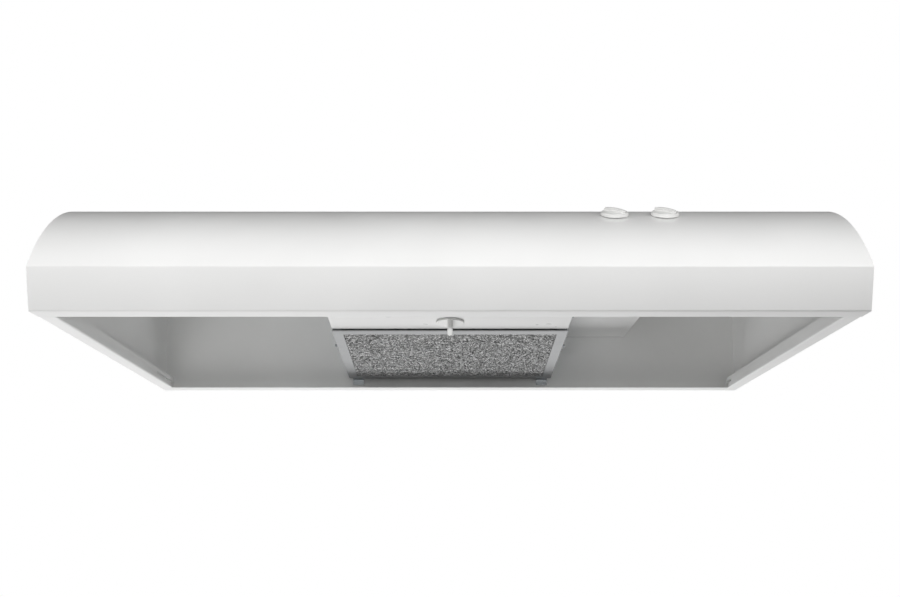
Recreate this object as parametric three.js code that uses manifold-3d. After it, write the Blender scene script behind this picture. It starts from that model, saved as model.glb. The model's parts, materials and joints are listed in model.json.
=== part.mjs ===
// Under cabinet range hood for a 30 inch cabinet, in millimetres, +Z up, +Y towards the wall.
//
// Everything is drawn in the bench frame: x across, y back from the front crease, z up from the rim.
// The finished group is then moved so that its origin is the cabinet face, on the centre line of the top.
import * as THREE from "three";
import { mergeVertices } from "three/addons/utils/BufferGeometryUtils.js";
import Module from "manifold-3d";

const wasm = await Module();
wasm.setup();

// ---- Overall size ----
const WIDTH = 759;
const DEPTH = 505;
const HEIGHT = 140;
const SHEET = 1;            // folded steel sheet
const GAP = 0.3;            // air between two pieces that touch
const CABINET_FACE_Y = 345; // the origin, behind the front crease

// ---- Canopy: leaning front band, curved crown, flat top ----
const BAND_HEIGHT = 38.5;
const BAND_LEAN = 12;
const CROWN_START_DEG = 56.8;
const CROWN_BREAK_DEG = 16.5;
const CROWN_FRONT_SHARE = 0.855; // of the crown's rise, made by its tighter front arc
const FRONT_ARC_STEPS = 26;
const REAR_ARC_STEPS = 9;
const FRONT_FLANGE = 24;

// ---- Side and rear panels ----
const SIDE_FLANGE = 15.5;
const SIDE_LIP = 14;
const LIP_REAR_GAP = 14;
const LIP_SLOT_HEIGHT = 3;
const LIP_SLOT_RISE = 6.5;
const LIP_SLOT_LEFT = 87;
const LIP_SLOT_RIGHT = 27;
const REAR_FLANGE = 25;
const KNOCKOUT_RISE = 50;

// ---- Top openings ----
const DUCT_WIDTH = 254;
const DUCT_DEPTH = 82.5;
const DUCT_REAR_GAP = 12;
const KEYHOLE_X = 300;
const KEYHOLE_FRONT_GAP = 26;
const KEYHOLE_REAR_GAP = 40;
const KEYHOLE_HEAD = 5;
const KEYHOLE_SLOT = 2.6;
const KEYHOLE_LENGTH = 14;

// ---- Filter tray plane: it falls towards the wall ----
const TRAY_SLOPE_DEG = 4.3;
const TRAY_FRONT_HEIGHT = 34.9;
const FILTER_WIDTH = 266.7;
const FILTER_LENGTH = 230;
const FILTER_THICK = 2.6;
const FILTER_RIM = 12;
const FILTER_REAR_GAP = 8;
const FILTER_TAB_WIDTH = 10;
const FILTER_TAB_INSET = 12;
const FILTER_TAB_THICK = 0.8;
const FILTER_TAB_LENGTH = 4.2;
const FILTER_PIVOT = 2.2;   // behind the frame's rear edge
const MESH_THICK = 1.6;
const SNAP_SETBACK = 71;    // the snap buttons, behind the frame's front edge

// ---- Light lens, its hinge and its latch ----
const LENS_LENGTH = 128;
const LENS_THICK = 2.5;
const LENS_REAR_GAP = 1.4;
const LENS_HINGE_SETBACK = 4;
const LENS_HINGE_RISE = 2;
const HINGE_PIN_R = 2;
const KNUCKLE_WIDTH = 20;
const KNUCKLE_X = 80;
const LATCH_SETBACK = 31.8; // its centre, ahead of the filter's front edge
const LATCH_DISC_R = 15.5;
const LATCH_DISC_THICK = 2.2;
const LATCH_FIN_WIDTH = 5.8;
const LATCH_FIN_DROP = 9.6;
const LATCH_STEM_R = 4;
const TONGUE_WIDTH = 10;
const TONGUE_REACH = 20;
const TONGUE_THICK = 0.8;
const CATCH_FLANGE = 16;

// ---- Plenum, deck and outlet ----
const PLENUM_INSET = 0.85;  // plates, inside the filter's edge
const RAIL_FLANGE = 11;
const RAIL_REAR_GAP = 6;
const EAR_REACH = 9;
const EAR_DROP = 1.2;
const BLOWER_ROOM = 66;     // from the deck to the top sheet
const OUTLET_WALL_GAP = 4;  // ahead of the damper's flange

// ---- Blower and motor ----
const WHEEL_R = 52;
const WHEEL_BAND = 10;      // from the wheel's eye to its rim
const WHEEL_HEIGHT = 46;
const WHEEL_RISE = 4;       // above the deck
const BLADE_COUNT = 28;
const BLADE_THICK = 1.2;
const BLADE_TURN_DEG = 24;
const SCROLL_CLEAR = 4;     // between the wheel and the start of the scroll
const SCROLL_FRONT_CLEAR = 5;
const SCROLL_GROWTH = 18;
const SCROLL_START_DEG = 60;
const SCROLL_STEPS = 40;
const MOTOR_AIR = 8;        // inside the wheel's eye
const MOTOR_HEIGHT = 40;
const MOTOR_CLEAR = 5;      // inside the wheel's cup
const SHAFT_R = 3;
const BRACKET_LENGTH = 100;
const BRACKET_WIDTH = 36;
const BRACKET_THICK = 1.5;

// ---- Damper ----
const DAMPER_DEPTH = 22;
const DAMPER_FLANGE = 6;
const DAMPER_LEDGE = 3;
const DAMPER_PIN_R = 1.5;

// ---- Lamp ----
const BULB_R = 24;
const BULB_NECK_R = 13;
const BULB_LENGTH = 62;
const BULB_BASE_LENGTH = 25;
const BULB_LIFT = 34;       // its axis, above the lens plane
const BULB_STEPS = 9;
const SOCKET_R = 19;
const SOCKET_LENGTH = 32;

// ---- Wiring box ----
const WIRING_WIDTH = 100;
const WIRING_LENGTH = 148;
const WIRING_ROOM = 67;     // from its floor to the top sheet
const BUSHING_R = 10.7;
const BUSHING_WALL = 2.7;
const BUSHING_SETBACK = 0.45; // of the box's length
const LEAD_DEPTH = 22;      // the leads, below the top sheet
const SIDE_LEAD_INSET = 14;
const MOTOR_LEAD_DEPTH = 8;
const COVER_SCREW_INSET_X = 14;
const COVER_SCREW_INSET_Y = 12;
const LAMP_LEAD_INSET = 12;
const FAN_LEAD_INSET = 30;
const LIGHT_LEAD_INSET = 60;
const LEAD_R = 3;

// ---- Controls on the crown ----
const KNOB_TANGENT_DEG = 28.5;
const KNOB_R = 13.5;
const KNOB_SKIRT = 3.2;
const KNOB_TOP = 8;
const KNOB_RIDGE_WIDTH = 5.5;
const KNOB_RIDGE_TURN_DEG = 135;
const KNOB_PITCH = 49;
const FAN_KNOB_OFFSET = 27; // outwards from the plenum's side plate
const SWITCH_BUSH_R = 5;
const SWITCH_SHAFT_R = 2;
const SWITCH_WIDTH = 26;
const SWITCH_DEPTH = 22;
const SWITCH_HEIGHT = 20;

// ---- Derived places ----
const radians = THREE.MathUtils.degToRad;
const CEILING = HEIGHT - SHEET;
const WALL_FACE = DEPTH - SHEET;
const SLOPE = radians(TRAY_SLOPE_DEG);
const TRAY_Y = WALL_FACE - FILTER_REAR_GAP - FILTER_LENGTH * Math.cos(SLOPE);
const PLATE_OUT = FILTER_WIDTH / 2 - PLENUM_INSET;
const PLATE_IN = PLATE_OUT - SHEET;
const FILTER_TOP = -GAP;
const FILTER_BOTTOM = FILTER_TOP - FILTER_THICK;
const LENS_FRONT = -LENS_REAR_GAP - LENS_LENGTH;
const LENS_PIN = LENS_FRONT - LENS_HINGE_SETBACK;
const CATCH_LEVEL = LENS_THICK + 0.7;
const TONGUE_LEVEL = CATCH_LEVEL + SHEET + 0.4;
const DECK_Z = CEILING - BLOWER_ROOM - SHEET;
const DUCT_FRONT = DEPTH - DUCT_REAR_GAP - DUCT_DEPTH;
const OUTLET_WALL_Y = DUCT_FRONT - DAMPER_FLANGE - OUTLET_WALL_GAP;
const WHEEL_EYE_R = WHEEL_R - WHEEL_BAND;
const MOTOR_R = WHEEL_EYE_R - MOTOR_AIR;
const SCROLL_START_R = WHEEL_R + SCROLL_CLEAR;
const WHEEL_Y = OUTLET_WALL_Y - SCROLL_START_R - SCROLL_FRONT_CLEAR;
const WHEEL_Z = DECK_Z + SHEET + WHEEL_RISE;
const MOTOR_TOP = CEILING - GAP - BRACKET_THICK - GAP;
const MOTOR_BASE = MOTOR_TOP - MOTOR_HEIGHT;
const WIRING_X = PLATE_OUT + SHEET;
const WIRING_RISE = CEILING - WIRING_ROOM;
const WIRING_Y = WALL_FACE - GAP - WIRING_LENGTH;
const BUSHING_X = WIRING_X + WIRING_WIDTH / 2;
const BUSHING_Y = WIRING_Y + WIRING_LENGTH * BUSHING_SETBACK;
const SIDE_LEAD_Y = WIRING_Y + SIDE_LEAD_INSET;
const MOTOR_LEAD_Z = MOTOR_TOP - MOTOR_LEAD_DEPTH;
const COVER_SCREW_X = WIRING_X + COVER_SCREW_INSET_X;
const COVER_SCREW_Y = WIRING_Y + COVER_SCREW_INSET_Y;
const LEAD_Z = CEILING - LEAD_DEPTH;
const LAMP_LEAD_X = WIRING_X + LAMP_LEAD_INSET;
const FAN_LEAD_X = WIRING_X + FAN_LEAD_INSET;
const LIGHT_LEAD_X = WIRING_X + LIGHT_LEAD_INSET;
const FAN_KNOB_X = PLATE_OUT + FAN_KNOB_OFFSET;
const LIGHT_KNOB_X = FAN_KNOB_X + KNOB_PITCH;

// ---- Materials ----
const finish = (color, roughness, metalness) => new THREE.MeshStandardMaterial({ color, roughness, metalness });
const WHITE_ENAMEL = finish(0xf2f3f4, 0.35, 0);
const GALVANISED = finish(0xa9adb0, 0.5, 0.8);
const ALUMINIUM = finish(0xb9bcbe, 0.45, 0.9);
const MESH_ALUMINIUM = finish(0x8f9294, 0.5, 0.8);
const WHITE_PLASTIC = finish(0xf4f4f2, 0.4, 0);
const LENS_PLASTIC = finish(0xf0f1f0, 0.5, 0);
const BLACK_PLASTIC = finish(0x1d1e20, 0.55, 0);
const SPRING_STEEL = finish(0x8a8f94, 0.3, 1);
const ZINC = finish(0xc3c6c8, 0.35, 1);
const GLASS = finish(0xf6f4ea, 0.15, 0);
const BRASS = finish(0xb9a26a, 0.35, 1);
const PORCELAIN = finish(0xe9e7df, 0.4, 0);
const LEAD_SHEATH = finish(0x2a2b2d, 0.6, 0);
const RIM_STEEL = finish(0x6f7478, 0.45, 0.8);

// ---- Solids ----
const TINY = 1e-4;

/** A manifold solid from a closed three.js geometry. */
function solidOf(geometry) {
  const bare = geometry.clone();
  bare.deleteAttribute("normal");
  bare.deleteAttribute("uv");
  const merged = mergeVertices(bare, TINY);
  const mesh = new wasm.Mesh({
    numProp: 3,
    vertProperties: merged.attributes.position.array,
    triVerts: merged.index.array,
  });
  return new wasm.Manifold(mesh);
}

/** A three.js geometry from a manifold solid. */
function geometryOf(solid) {
  const mesh = solid.getMesh();
  const geometry = new THREE.BufferGeometry();
  geometry.setAttribute("position", new THREE.BufferAttribute(mesh.vertProperties, 3));
  geometry.setIndex(new THREE.BufferAttribute(mesh.triVerts, 1));
  return geometry;
}

const join = (...pieces) => geometryOf(pieces.map(solidOf).reduce((a, b) => a.add(b)));
const cut = (piece, ...tools) => geometryOf(tools.map(solidOf).reduce((a, b) => a.subtract(b), solidOf(piece)));
const common = (piece, other) => geometryOf(solidOf(piece).intersect(solidOf(other)));

/** A block between two corners. */
function block(x0, x1, y0, y1, z0, z1) {
  const geometry = new THREE.BoxGeometry(x1 - x0, y1 - y0, z1 - z0);
  return geometry.translate((x0 + x1) / 2, (y0 + y1) / 2, (z0 + z1) / 2);
}

/** A round bar along Z, on the axis through x, y. */
function bar(radius, z0, z1, x = 0, y = 0, sides = 32) {
  const geometry = new THREE.CylinderGeometry(radius, radius, z1 - z0, sides);
  return geometry.rotateX(Math.PI / 2).translate(x, y, (z0 + z1) / 2);
}

/** A round bar along X, on the axis through y, z. */
function barAcross(radius, x0, x1, y, z, sides = 24) {
  const geometry = new THREE.CylinderGeometry(radius, radius, x1 - x0, sides);
  return geometry.rotateZ(Math.PI / 2).translate((x0 + x1) / 2, y, z);
}

/** A turned piece about Z, from [radius, z] points that close on themselves or on the axis. */
function turned(points, sides = 32) {
  const profile = points.map(([r, z]) => new THREE.Vector2(r, z));
  if (THREE.ShapeUtils.area(profile) < 0) profile.reverse();
  return new THREE.LatheGeometry(profile, sides).rotateX(Math.PI / 2);
}

/** An outline of [y, z] points carried from x0 to x1. */
function across(outline, x0, x1) {
  const shape = new THREE.Shape(outline.map(([y, z]) => new THREE.Vector2(y, z)));
  const geometry = new THREE.ExtrudeGeometry(shape, { depth: x1 - x0, bevelEnabled: false });
  const turn = new THREE.Matrix4().set(0, 0, 1, x0, 1, 0, 0, 0, 0, 1, 0, 0, 0, 0, 0, 1);
  return geometry.applyMatrix4(turn);
}

/** An outline of [x, y] points carried from z0 to z1. */
function upright(outline, z0, z1) {
  const shape = new THREE.Shape(outline.map(([x, y]) => new THREE.Vector2(x, y)));
  const geometry = new THREE.ExtrudeGeometry(shape, { depth: z1 - z0, bevelEnabled: false });
  return geometry.translate(0, 0, z0);
}

/** A path moved sideways to its right by a distance, with mitred corners. */
function beside(path, distance) {
  return path.map((point, n) => {
    const before = path[Math.max(n - 1, 0)];
    const after = path[Math.min(n + 1, path.length - 1)];
    const first = rightOf(n > 0 ? before : point, n > 0 ? point : after);
    const second = rightOf(n < path.length - 1 ? point : before, n < path.length - 1 ? after : point);
    const share = distance / (1 + first[0] * second[0] + first[1] * second[1]);
    return [point[0] + share * (first[0] + second[0]), point[1] + share * (first[1] + second[1])];
  });
}

/** The unit normal to the right of the way from a to b. */
function rightOf(a, b) {
  const length = Math.hypot(b[0] - a[0], b[1] - a[1]);
  return [(b[1] - a[1]) / length, -(b[0] - a[0]) / length];
}

/** Sheet folded along a [y, z] path, its thickness to the right of the path, from x0 to x1. */
function folded(path, thickness, x0, x1) {
  return across([...path, ...beside(path, thickness).reverse()], x0, x1);
}

/** A lead of round section through [x, y, z] points. */
function lead(points, radius = LEAD_R, sides = 8) {
  const route = new THREE.CatmullRomCurve3(points.map((p) => new THREE.Vector3(...p)));
  const steps = Math.min(60, Math.round(route.getLength() / (radius * 5)));
  const section = new THREE.Shape();
  for (let n = 0; n < sides; n += 1) {
    const angle = 2 * Math.PI * n / sides;
    const corner = [radius * Math.cos(angle), radius * Math.sin(angle)];
    if (n === 0) section.moveTo(...corner);
    else section.lineTo(...corner);
  }
  return new THREE.ExtrudeGeometry(section, { steps, extrudePath: route, bevelEnabled: false });
}

// ---- The tray frame: y along the slope from the filter's front edge, z off the lens plane ----
const tray = new THREE.Group();
tray.position.set(0, TRAY_Y, TRAY_FRONT_HEIGHT);
tray.rotation.x = -SLOPE;
tray.updateMatrix();

/** The bench [y, z] of a place in the tray. */
function trayPoint(along, above) {
  const place = new THREE.Vector3(0, along, above).applyMatrix4(tray.matrix);
  return [place.y, place.z];
}

const fromTray = (geometry) => geometry.applyMatrix4(tray.matrix);

// ---- Scene graph ----
const hood = new THREE.Group();
hood.position.set(0, -CABINET_FACE_Y, -HEIGHT);
hood.add(tray);

/** Adds one named sub-part to a group. */
function add(group, name, geometry, material) {
  const mesh = new THREE.Mesh(geometry, material);
  mesh.name = name;
  group.add(mesh);
}

// ---- Canopy ----
/** The crown's [y, z] points, from the crease to the flat top, on two tangent arcs. */
function crownPath() {
  const start = radians(CROWN_START_DEG);
  const middle = radians(CROWN_BREAK_DEG);
  const rise = HEIGHT - BAND_HEIGHT;
  const frontR = rise * CROWN_FRONT_SHARE / (Math.cos(middle) - Math.cos(start));
  const rearR = rise * (1 - CROWN_FRONT_SHARE) / (1 - Math.cos(middle));
  const points = [];
  for (let n = 0; n <= FRONT_ARC_STEPS; n += 1) {
    const slope = start + (middle - start) * n / FRONT_ARC_STEPS;
    points.push(crownPoint(slope, frontR, start, [0, BAND_HEIGHT]));
  }
  const joint = points[points.length - 1];
  for (let n = 1; n <= REAR_ARC_STEPS; n += 1) {
    points.push(crownPoint(middle * (1 - n / REAR_ARC_STEPS), rearR, middle, joint));
  }
  return { points, frontR, start };
}

/** A point on an arc that leaves a known point at the slope start and has come down to slope. */
function crownPoint(slope, radius, start, from) {
  return [
    from[0] + radius * (Math.sin(start) - Math.sin(slope)),
    from[1] + radius * (Math.cos(slope) - Math.cos(start)),
  ];
}

const CROWN = crownPath();
const BAND_PATH = [[BAND_LEAN, 0], ...CROWN.points, [DEPTH, HEIGHT]];
const CANOPY_PATH = [[BAND_LEAN + FRONT_FLANGE, 0], ...BAND_PATH];

/** The room under the canopy as one solid, clear of its sheet, across a width. */
function room(halfWidth) {
  const roof = beside(BAND_PATH, SHEET + GAP);
  roof[roof.length - 1][0] = WALL_FACE - GAP;
  return across([...roof, [WALL_FACE - GAP, 0], [roof[0][0], 0]], -halfWidth, halfWidth);
}

/** A keyhole cutter: a round head at the rear and a slot towards the front. */
function keyhole(x, y) {
  const low = CEILING - SHEET;
  const high = HEIGHT + SHEET;
  const slot = block(x - KEYHOLE_SLOT, x + KEYHOLE_SLOT, y, y + KEYHOLE_LENGTH, low, high);
  return join(bar(KEYHOLE_HEAD, low, high, x, y), slot);
}

/** Where a control's axis meets the crown's outer face: its group, with z along the outward normal. */
function controlGroup(x) {
  const slope = radians(KNOB_TANGENT_DEG);
  const [y, z] = crownPoint(slope, CROWN.frontR, CROWN.start, [0, BAND_HEIGHT]);
  const group = new THREE.Group();
  group.position.set(x, y, z);
  group.rotation.x = slope;
  group.updateMatrix();
  return group;
}

/** The canopy: one sheet folded from the front flange up the band, over the crown and back along the top. */
function canopyShell(controls) {
  const shell = folded(CANOPY_PATH, SHEET, -WIDTH / 2, WIDTH / 2);
  const duct = block(
    -DUCT_WIDTH / 2, DUCT_WIDTH / 2, DUCT_FRONT, DUCT_FRONT + DUCT_DEPTH, CEILING - SHEET, HEIGHT + SHEET,
  );
  const crownEnd = CROWN.points[CROWN.points.length - 1][0];
  const rows = [crownEnd + KEYHOLE_FRONT_GAP, DEPTH - KEYHOLE_REAR_GAP];
  const keyholes = rows.flatMap((y) => [-KEYHOLE_X, KEYHOLE_X].map((x) => keyhole(x, y)));
  const inlet = bar(BUSHING_R + GAP, CEILING - SHEET, HEIGHT + SHEET, BUSHING_X, BUSHING_Y);
  const shafts = controls.map((group) =>
    bar(SWITCH_BUSH_R + 0.4, -6 * SHEET, 3 * SHEET).applyMatrix4(group.matrix));
  return cut(shell, duct, ...keyholes, inlet, ...shafts);
}

// ---- Side panels ----
/** One side panel: the end plate, its bottom flange, and the upturned lip with its slot. */
function sidePanel(side, slotLength) {
  const outer = WIDTH / 2;
  const front = BAND_LEAN + FRONT_FLANGE + GAP;
  const roof = beside(CANOPY_PATH, SHEET + GAP);
  const outline = [[front, 0], [front, roof[0][1]], ...roof, [DEPTH, roof[roof.length - 1][1]], [DEPTH, 0]];
  const lip = outer - SIDE_FLANGE;
  const lipRear = DEPTH - LIP_REAR_GAP;
  const slot = block(
    lip - SHEET, lip + 2 * SHEET, lipRear - slotLength, lipRear - 6, LIP_SLOT_RISE, LIP_SLOT_RISE + LIP_SLOT_HEIGHT,
  );
  const panel = join(
    across(outline, outer - SHEET, outer),
    block(lip, outer, front, DEPTH, 0, SHEET),
    cut(block(lip, lip + SHEET, front, lipRear, 0, SIDE_LIP), slot),
  );
  return side > 0 ? panel : mirrored(panel);
}

/** A piece mirrored in x, with its faces still pointing out. */
function mirrored(geometry) {
  return geometryOf(solidOf(geometry).mirror([1, 0, 0]));
}

// ---- Rear panel ----
/** The rear panel with its foot flange and the window for the knock-out. */
function rearPanel() {
  const half = WIDTH / 2 - SHEET - GAP;
  const inner = WIDTH / 2 - SIDE_FLANGE - GAP;
  const plate = block(-half, half, WALL_FACE, DEPTH, SHEET + GAP, CEILING - GAP);
  const foot = folded(
    [[DEPTH, 3 * SHEET], [DEPTH, 0], [DEPTH - REAR_FLANGE, 0]], SHEET, -inner, inner,
  );
  const window = block(
    -DUCT_WIDTH / 2, DUCT_WIDTH / 2, WALL_FACE - SHEET, DEPTH + SHEET, KNOCKOUT_RISE, KNOCKOUT_RISE + DUCT_DEPTH,
  );
  return cut(join(plate, foot), window);
}

/** The plate that closes the rear duct window until it is knocked out. */
function rearKnockout() {
  const half = DUCT_WIDTH / 2 - GAP;
  const low = KNOCKOUT_RISE + GAP;
  return block(-half, half, WALL_FACE, DEPTH, low, KNOCKOUT_RISE + DUCT_DEPTH - GAP);
}

// ---- Plenum ----
/** One side plate of the plenum and lamp bay, with the rail that the filter bears on. */
function plenumSide(side, holes) {
  const earFoot = LENS_HINGE_RISE - HINGE_PIN_R - EAR_DROP;
  const outline = [
    trayPoint(LENS_PIN - EAR_REACH / 2, earFoot),
    trayPoint(LENS_FRONT - 1, earFoot),
    trayPoint(LENS_FRONT - 1, LENS_THICK + 0.5),
    trayPoint(-LENS_REAR_GAP / 2, LENS_THICK + 0.5),
    trayPoint(-LENS_REAR_GAP / 2, 0),
    trayPoint(FILTER_LENGTH - RAIL_REAR_GAP, 0),
    [DEPTH, trayPoint(FILTER_LENGTH - RAIL_REAR_GAP, 0)[1]],
    [DEPTH, HEIGHT],
    [trayPoint(LENS_PIN - EAR_REACH / 2, 0)[0], HEIGHT],
  ];
  const plate = common(across(outline, PLATE_IN, PLATE_OUT), room(WIDTH));
  const rail = fromTray(block(
    PLATE_OUT - RAIL_FLANGE, PLATE_OUT, 0, FILTER_LENGTH - RAIL_REAR_GAP, 0, SHEET,
  ));
  const pin = trayPoint(LENS_PIN, LENS_HINGE_RISE);
  const pinHole = barAcross(HINGE_PIN_R + GAP, PLATE_IN - 2, PLATE_OUT + 2, ...pin);
  const panel = cut(join(plate, rail), pinHole, ...holes);
  return side > 0 ? panel : mirrored(panel);
}

/** The partition between the lamp bay and the blower, with the catch flange over the lens. */
function plenumFront() {
  const foot = trayPoint(-LENS_REAR_GAP - SHEET, CATCH_LEVEL);
  const path = [trayPoint(-LENS_REAR_GAP - SHEET - CATCH_FLANGE, CATCH_LEVEL), foot, [foot[0], CEILING - GAP]];
  const left = beside(path, -SHEET);
  return across([...left, ...path.reverse()], -PLATE_IN + GAP, PLATE_IN - GAP);
}

/** The deck under the blower, with the hole for the inlet ring. */
function blowerDeck() {
  const front = trayPoint(-LENS_REAR_GAP - SHEET, CATCH_LEVEL)[0] + GAP;
  const half = PLATE_IN - GAP;
  const deck = block(-half, half, front, WALL_FACE - GAP, DECK_Z, DECK_Z + SHEET);
  return cut(deck, bar(WHEEL_EYE_R + 4, DECK_Z - 2, DECK_Z + 3, 0, WHEEL_Y, 48));
}

/** The wall between the blower and the outlet, with the scroll's mouth cut in it. */
function outletWall() {
  const half = PLATE_IN - GAP;
  const wall = block(
    -half, half, OUTLET_WALL_Y, OUTLET_WALL_Y + SHEET, DECK_Z + SHEET + GAP, CEILING - GAP,
  );
  const mouth = block(
    SCROLL_START_R * Math.cos(radians(SCROLL_START_DEG)) + SHEET, SCROLL_START_R + SCROLL_GROWTH - SHEET,
    OUTLET_WALL_Y - SHEET, OUTLET_WALL_Y + 2 * SHEET, DECK_Z + 4, CEILING - 4,
  );
  return cut(wall, mouth);
}

// ---- Blower ----
/** The inlet ring: a flared mouth turned up into the wheel's eye. */
function inletRing() {
  const low = DECK_Z - GAP - 1.5;
  const top = WHEEL_Z + 1.2;
  const profile = [
    [WHEEL_EYE_R + 14, low], [WHEEL_EYE_R + 14, low + 1.5], [WHEEL_EYE_R + 3, low + 1.5],
    [WHEEL_EYE_R, low + 4], [WHEEL_EYE_R - 1, top], [WHEEL_EYE_R - 2.4, top],
    [WHEEL_EYE_R - 1.5, low + 3.5], [WHEEL_EYE_R + 1.5, low],
    [WHEEL_EYE_R + 14, low],
  ];
  return turned(profile).translate(0, WHEEL_Y, 0);
}

/** The scroll: one strip that winds out round the wheel and runs straight to the outlet wall. */
function blowerScroll() {
  const outer = [];
  const inner = [];
  for (let n = 0; n <= SCROLL_STEPS; n += 1) {
    const share = n / SCROLL_STEPS;
    const angle = radians(SCROLL_START_DEG + (360 - SCROLL_START_DEG) * share);
    const radius = SCROLL_START_R + SCROLL_GROWTH * share;
    inner.push([radius * Math.cos(angle), WHEEL_Y + radius * Math.sin(angle)]);
    outer.push([(radius + SHEET) * Math.cos(angle), WHEEL_Y + (radius + SHEET) * Math.sin(angle)]);
  }
  const end = OUTLET_WALL_Y - GAP;
  const [cutoff] = inner;
  const back = cutoff[0] - SHEET;
  outer[0] = [back, WHEEL_Y + Math.sqrt((SCROLL_START_R + SHEET) ** 2 - back ** 2)];
  const strip = [
    [cutoff[0], end], ...inner, [inner[SCROLL_STEPS][0], end],
    [outer[SCROLL_STEPS][0], end], ...outer.reverse(), [back, end],
  ];
  const leadHole = barAcross(LEAD_R + 1.5, SCROLL_START_R, 2 * SCROLL_START_R, WHEEL_Y, MOTOR_LEAD_Z);
  return cut(upright(strip, DECK_Z + SHEET + GAP, CEILING - GAP), leadHole);
}

/** The wheel: forward-curved blades between two rings, on a cup that folds down round the motor. */
function blowerWheel() {
  const top = WHEEL_Z + WHEEL_HEIGHT;
  const cupR = WHEEL_EYE_R - 2;
  const floor = MOTOR_BASE - MOTOR_CLEAR;
  const bladeLength = WHEEL_R - WHEEL_EYE_R - 1;
  const parts = [
    turned([[WHEEL_EYE_R, WHEEL_Z], [WHEEL_R, WHEEL_Z], [WHEEL_R, WHEEL_Z + 1.5],
      [WHEEL_EYE_R, WHEEL_Z + 1.5], [WHEEL_EYE_R, WHEEL_Z]]),
    turned([
      [WHEEL_R, top], [cupR, top], [cupR, floor + 2], [SHAFT_R + GAP, floor + 2],
      [SHAFT_R + GAP, floor - 7], [SHAFT_R + 5, floor - 7], [SHAFT_R + 5, floor], [cupR + 1, floor],
      [cupR + 1, top - 1.5], [WHEEL_R, top - 1.5], [WHEEL_R, top],
    ]),
  ];
  for (let n = 0; n < BLADE_COUNT; n += 1) {
    const blade = block(-bladeLength / 2, bladeLength / 2, 0, BLADE_THICK, WHEEL_Z + 0.5, top - 0.5);
    blade.rotateZ(radians(BLADE_TURN_DEG)).translate((WHEEL_R + WHEEL_EYE_R) / 2, 0, 0);
    parts.push(blade.rotateZ(2 * Math.PI * n / BLADE_COUNT));
  }
  return join(...parts).translate(0, WHEEL_Y, 0);
}

/** The motor: a round can with a shallow shoulder at both ends. */
function motorBody() {
  const shoulder = 4;
  return turned([
    [0, MOTOR_BASE], [MOTOR_R - shoulder, MOTOR_BASE], [MOTOR_R, MOTOR_BASE + shoulder],
    [MOTOR_R, MOTOR_TOP - shoulder], [MOTOR_R - shoulder, MOTOR_TOP], [0, MOTOR_TOP],
  ]).translate(0, WHEEL_Y, 0);
}

/** The shaft, from the motor's foot down through the wheel's hub. */
function motorShaft() {
  const floor = MOTOR_BASE - MOTOR_CLEAR;
  return bar(SHAFT_R, floor - 9, MOTOR_BASE - 0.4, 0, WHEEL_Y, 24);
}

const BRACKET_SCREW_X = BRACKET_LENGTH / 2 - 8;

/** The plate that hangs the motor from the top sheet. */
function motorBracket() {
  const half = BRACKET_LENGTH / 2;
  const plate = block(
    -half, half, WHEEL_Y - BRACKET_WIDTH / 2, WHEEL_Y + BRACKET_WIDTH / 2,
    CEILING - GAP - BRACKET_THICK, CEILING - GAP,
  );
  const holes = [-BRACKET_SCREW_X, BRACKET_SCREW_X].map((x) =>
    bar(2.2, CEILING - 5, CEILING + 1, x, WHEEL_Y, 16));
  return cut(plate, ...holes);
}

/** A pan-head screw driven upwards, its head's seat at z. */
function screwUp(x, y, z, shank) {
  return turned([
    [0, z - 2.4], [2.4, z - 2.2], [3.6, z - 1.2], [4, z], [1.7, z], [1.7, z + shank], [0, z + shank],
  ], 20).translate(x, y, 0);
}

// ---- Damper ----
const DAMPER_FLOOR = HEIGHT - DAMPER_DEPTH;
const DAMPER_PIN_Y = DUCT_FRONT + DUCT_DEPTH - 6;
const DAMPER_PIN_Z = DAMPER_FLOOR + SHEET + 4;

/** The damper's collar, with its flange under the top sheet and the ledge that stops the flap. */
function damperFrame() {
  const x = DUCT_WIDTH / 2 - GAP;
  const front = DUCT_FRONT + GAP;
  const rear = DUCT_FRONT + DUCT_DEPTH - GAP;
  const collar = block(-x, x, front, rear, DAMPER_FLOOR, HEIGHT);
  const flangeTop = CEILING - GAP;
  const flange = block(
    -x - 2, x + 2, front - DAMPER_FLANGE, rear + DAMPER_FLANGE, flangeTop - SHEET, flangeTop,
  );
  const passage = block(-x + SHEET, x - SHEET, front + SHEET, rear - SHEET, DAMPER_FLOOR - 1, HEIGHT + 1);
  const ledge = block(
    -x + 0.5, x - 0.5, front + 0.5, front + SHEET + DAMPER_LEDGE, DAMPER_FLOOR, DAMPER_FLOOR + SHEET,
  );
  const pin = barAcross(DAMPER_PIN_R + GAP, -x - 3, x + 3, DAMPER_PIN_Y, DAMPER_PIN_Z);
  return cut(join(cut(join(collar, flange), passage), ledge), pin);
}

/** The flap, with the sleeve that turns on the pin. */
function damperFlap() {
  const x = DUCT_WIDTH / 2 - GAP - SHEET - 1;
  const front = DUCT_FRONT + GAP + SHEET + 1;
  const low = DAMPER_FLOOR + SHEET + GAP;
  const knuckle = DAMPER_PIN_R + GAP + 1;
  const plate = block(-x, x, front, DAMPER_PIN_Y, low, low + SHEET);
  const sleeve = block(
    -x, x, DAMPER_PIN_Y - knuckle, DAMPER_PIN_Y + knuckle, low, DAMPER_PIN_Z + knuckle,
  );
  const bore = barAcross(DAMPER_PIN_R + GAP, -x - 1, x + 1, DAMPER_PIN_Y, DAMPER_PIN_Z);
  return cut(join(plate, sleeve), bore);
}

/** The flap's pin. */
function damperPin() {
  const x = DUCT_WIDTH / 2 - GAP;
  return barAcross(DAMPER_PIN_R, -x, x, DAMPER_PIN_Y, DAMPER_PIN_Z, 16);
}

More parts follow.
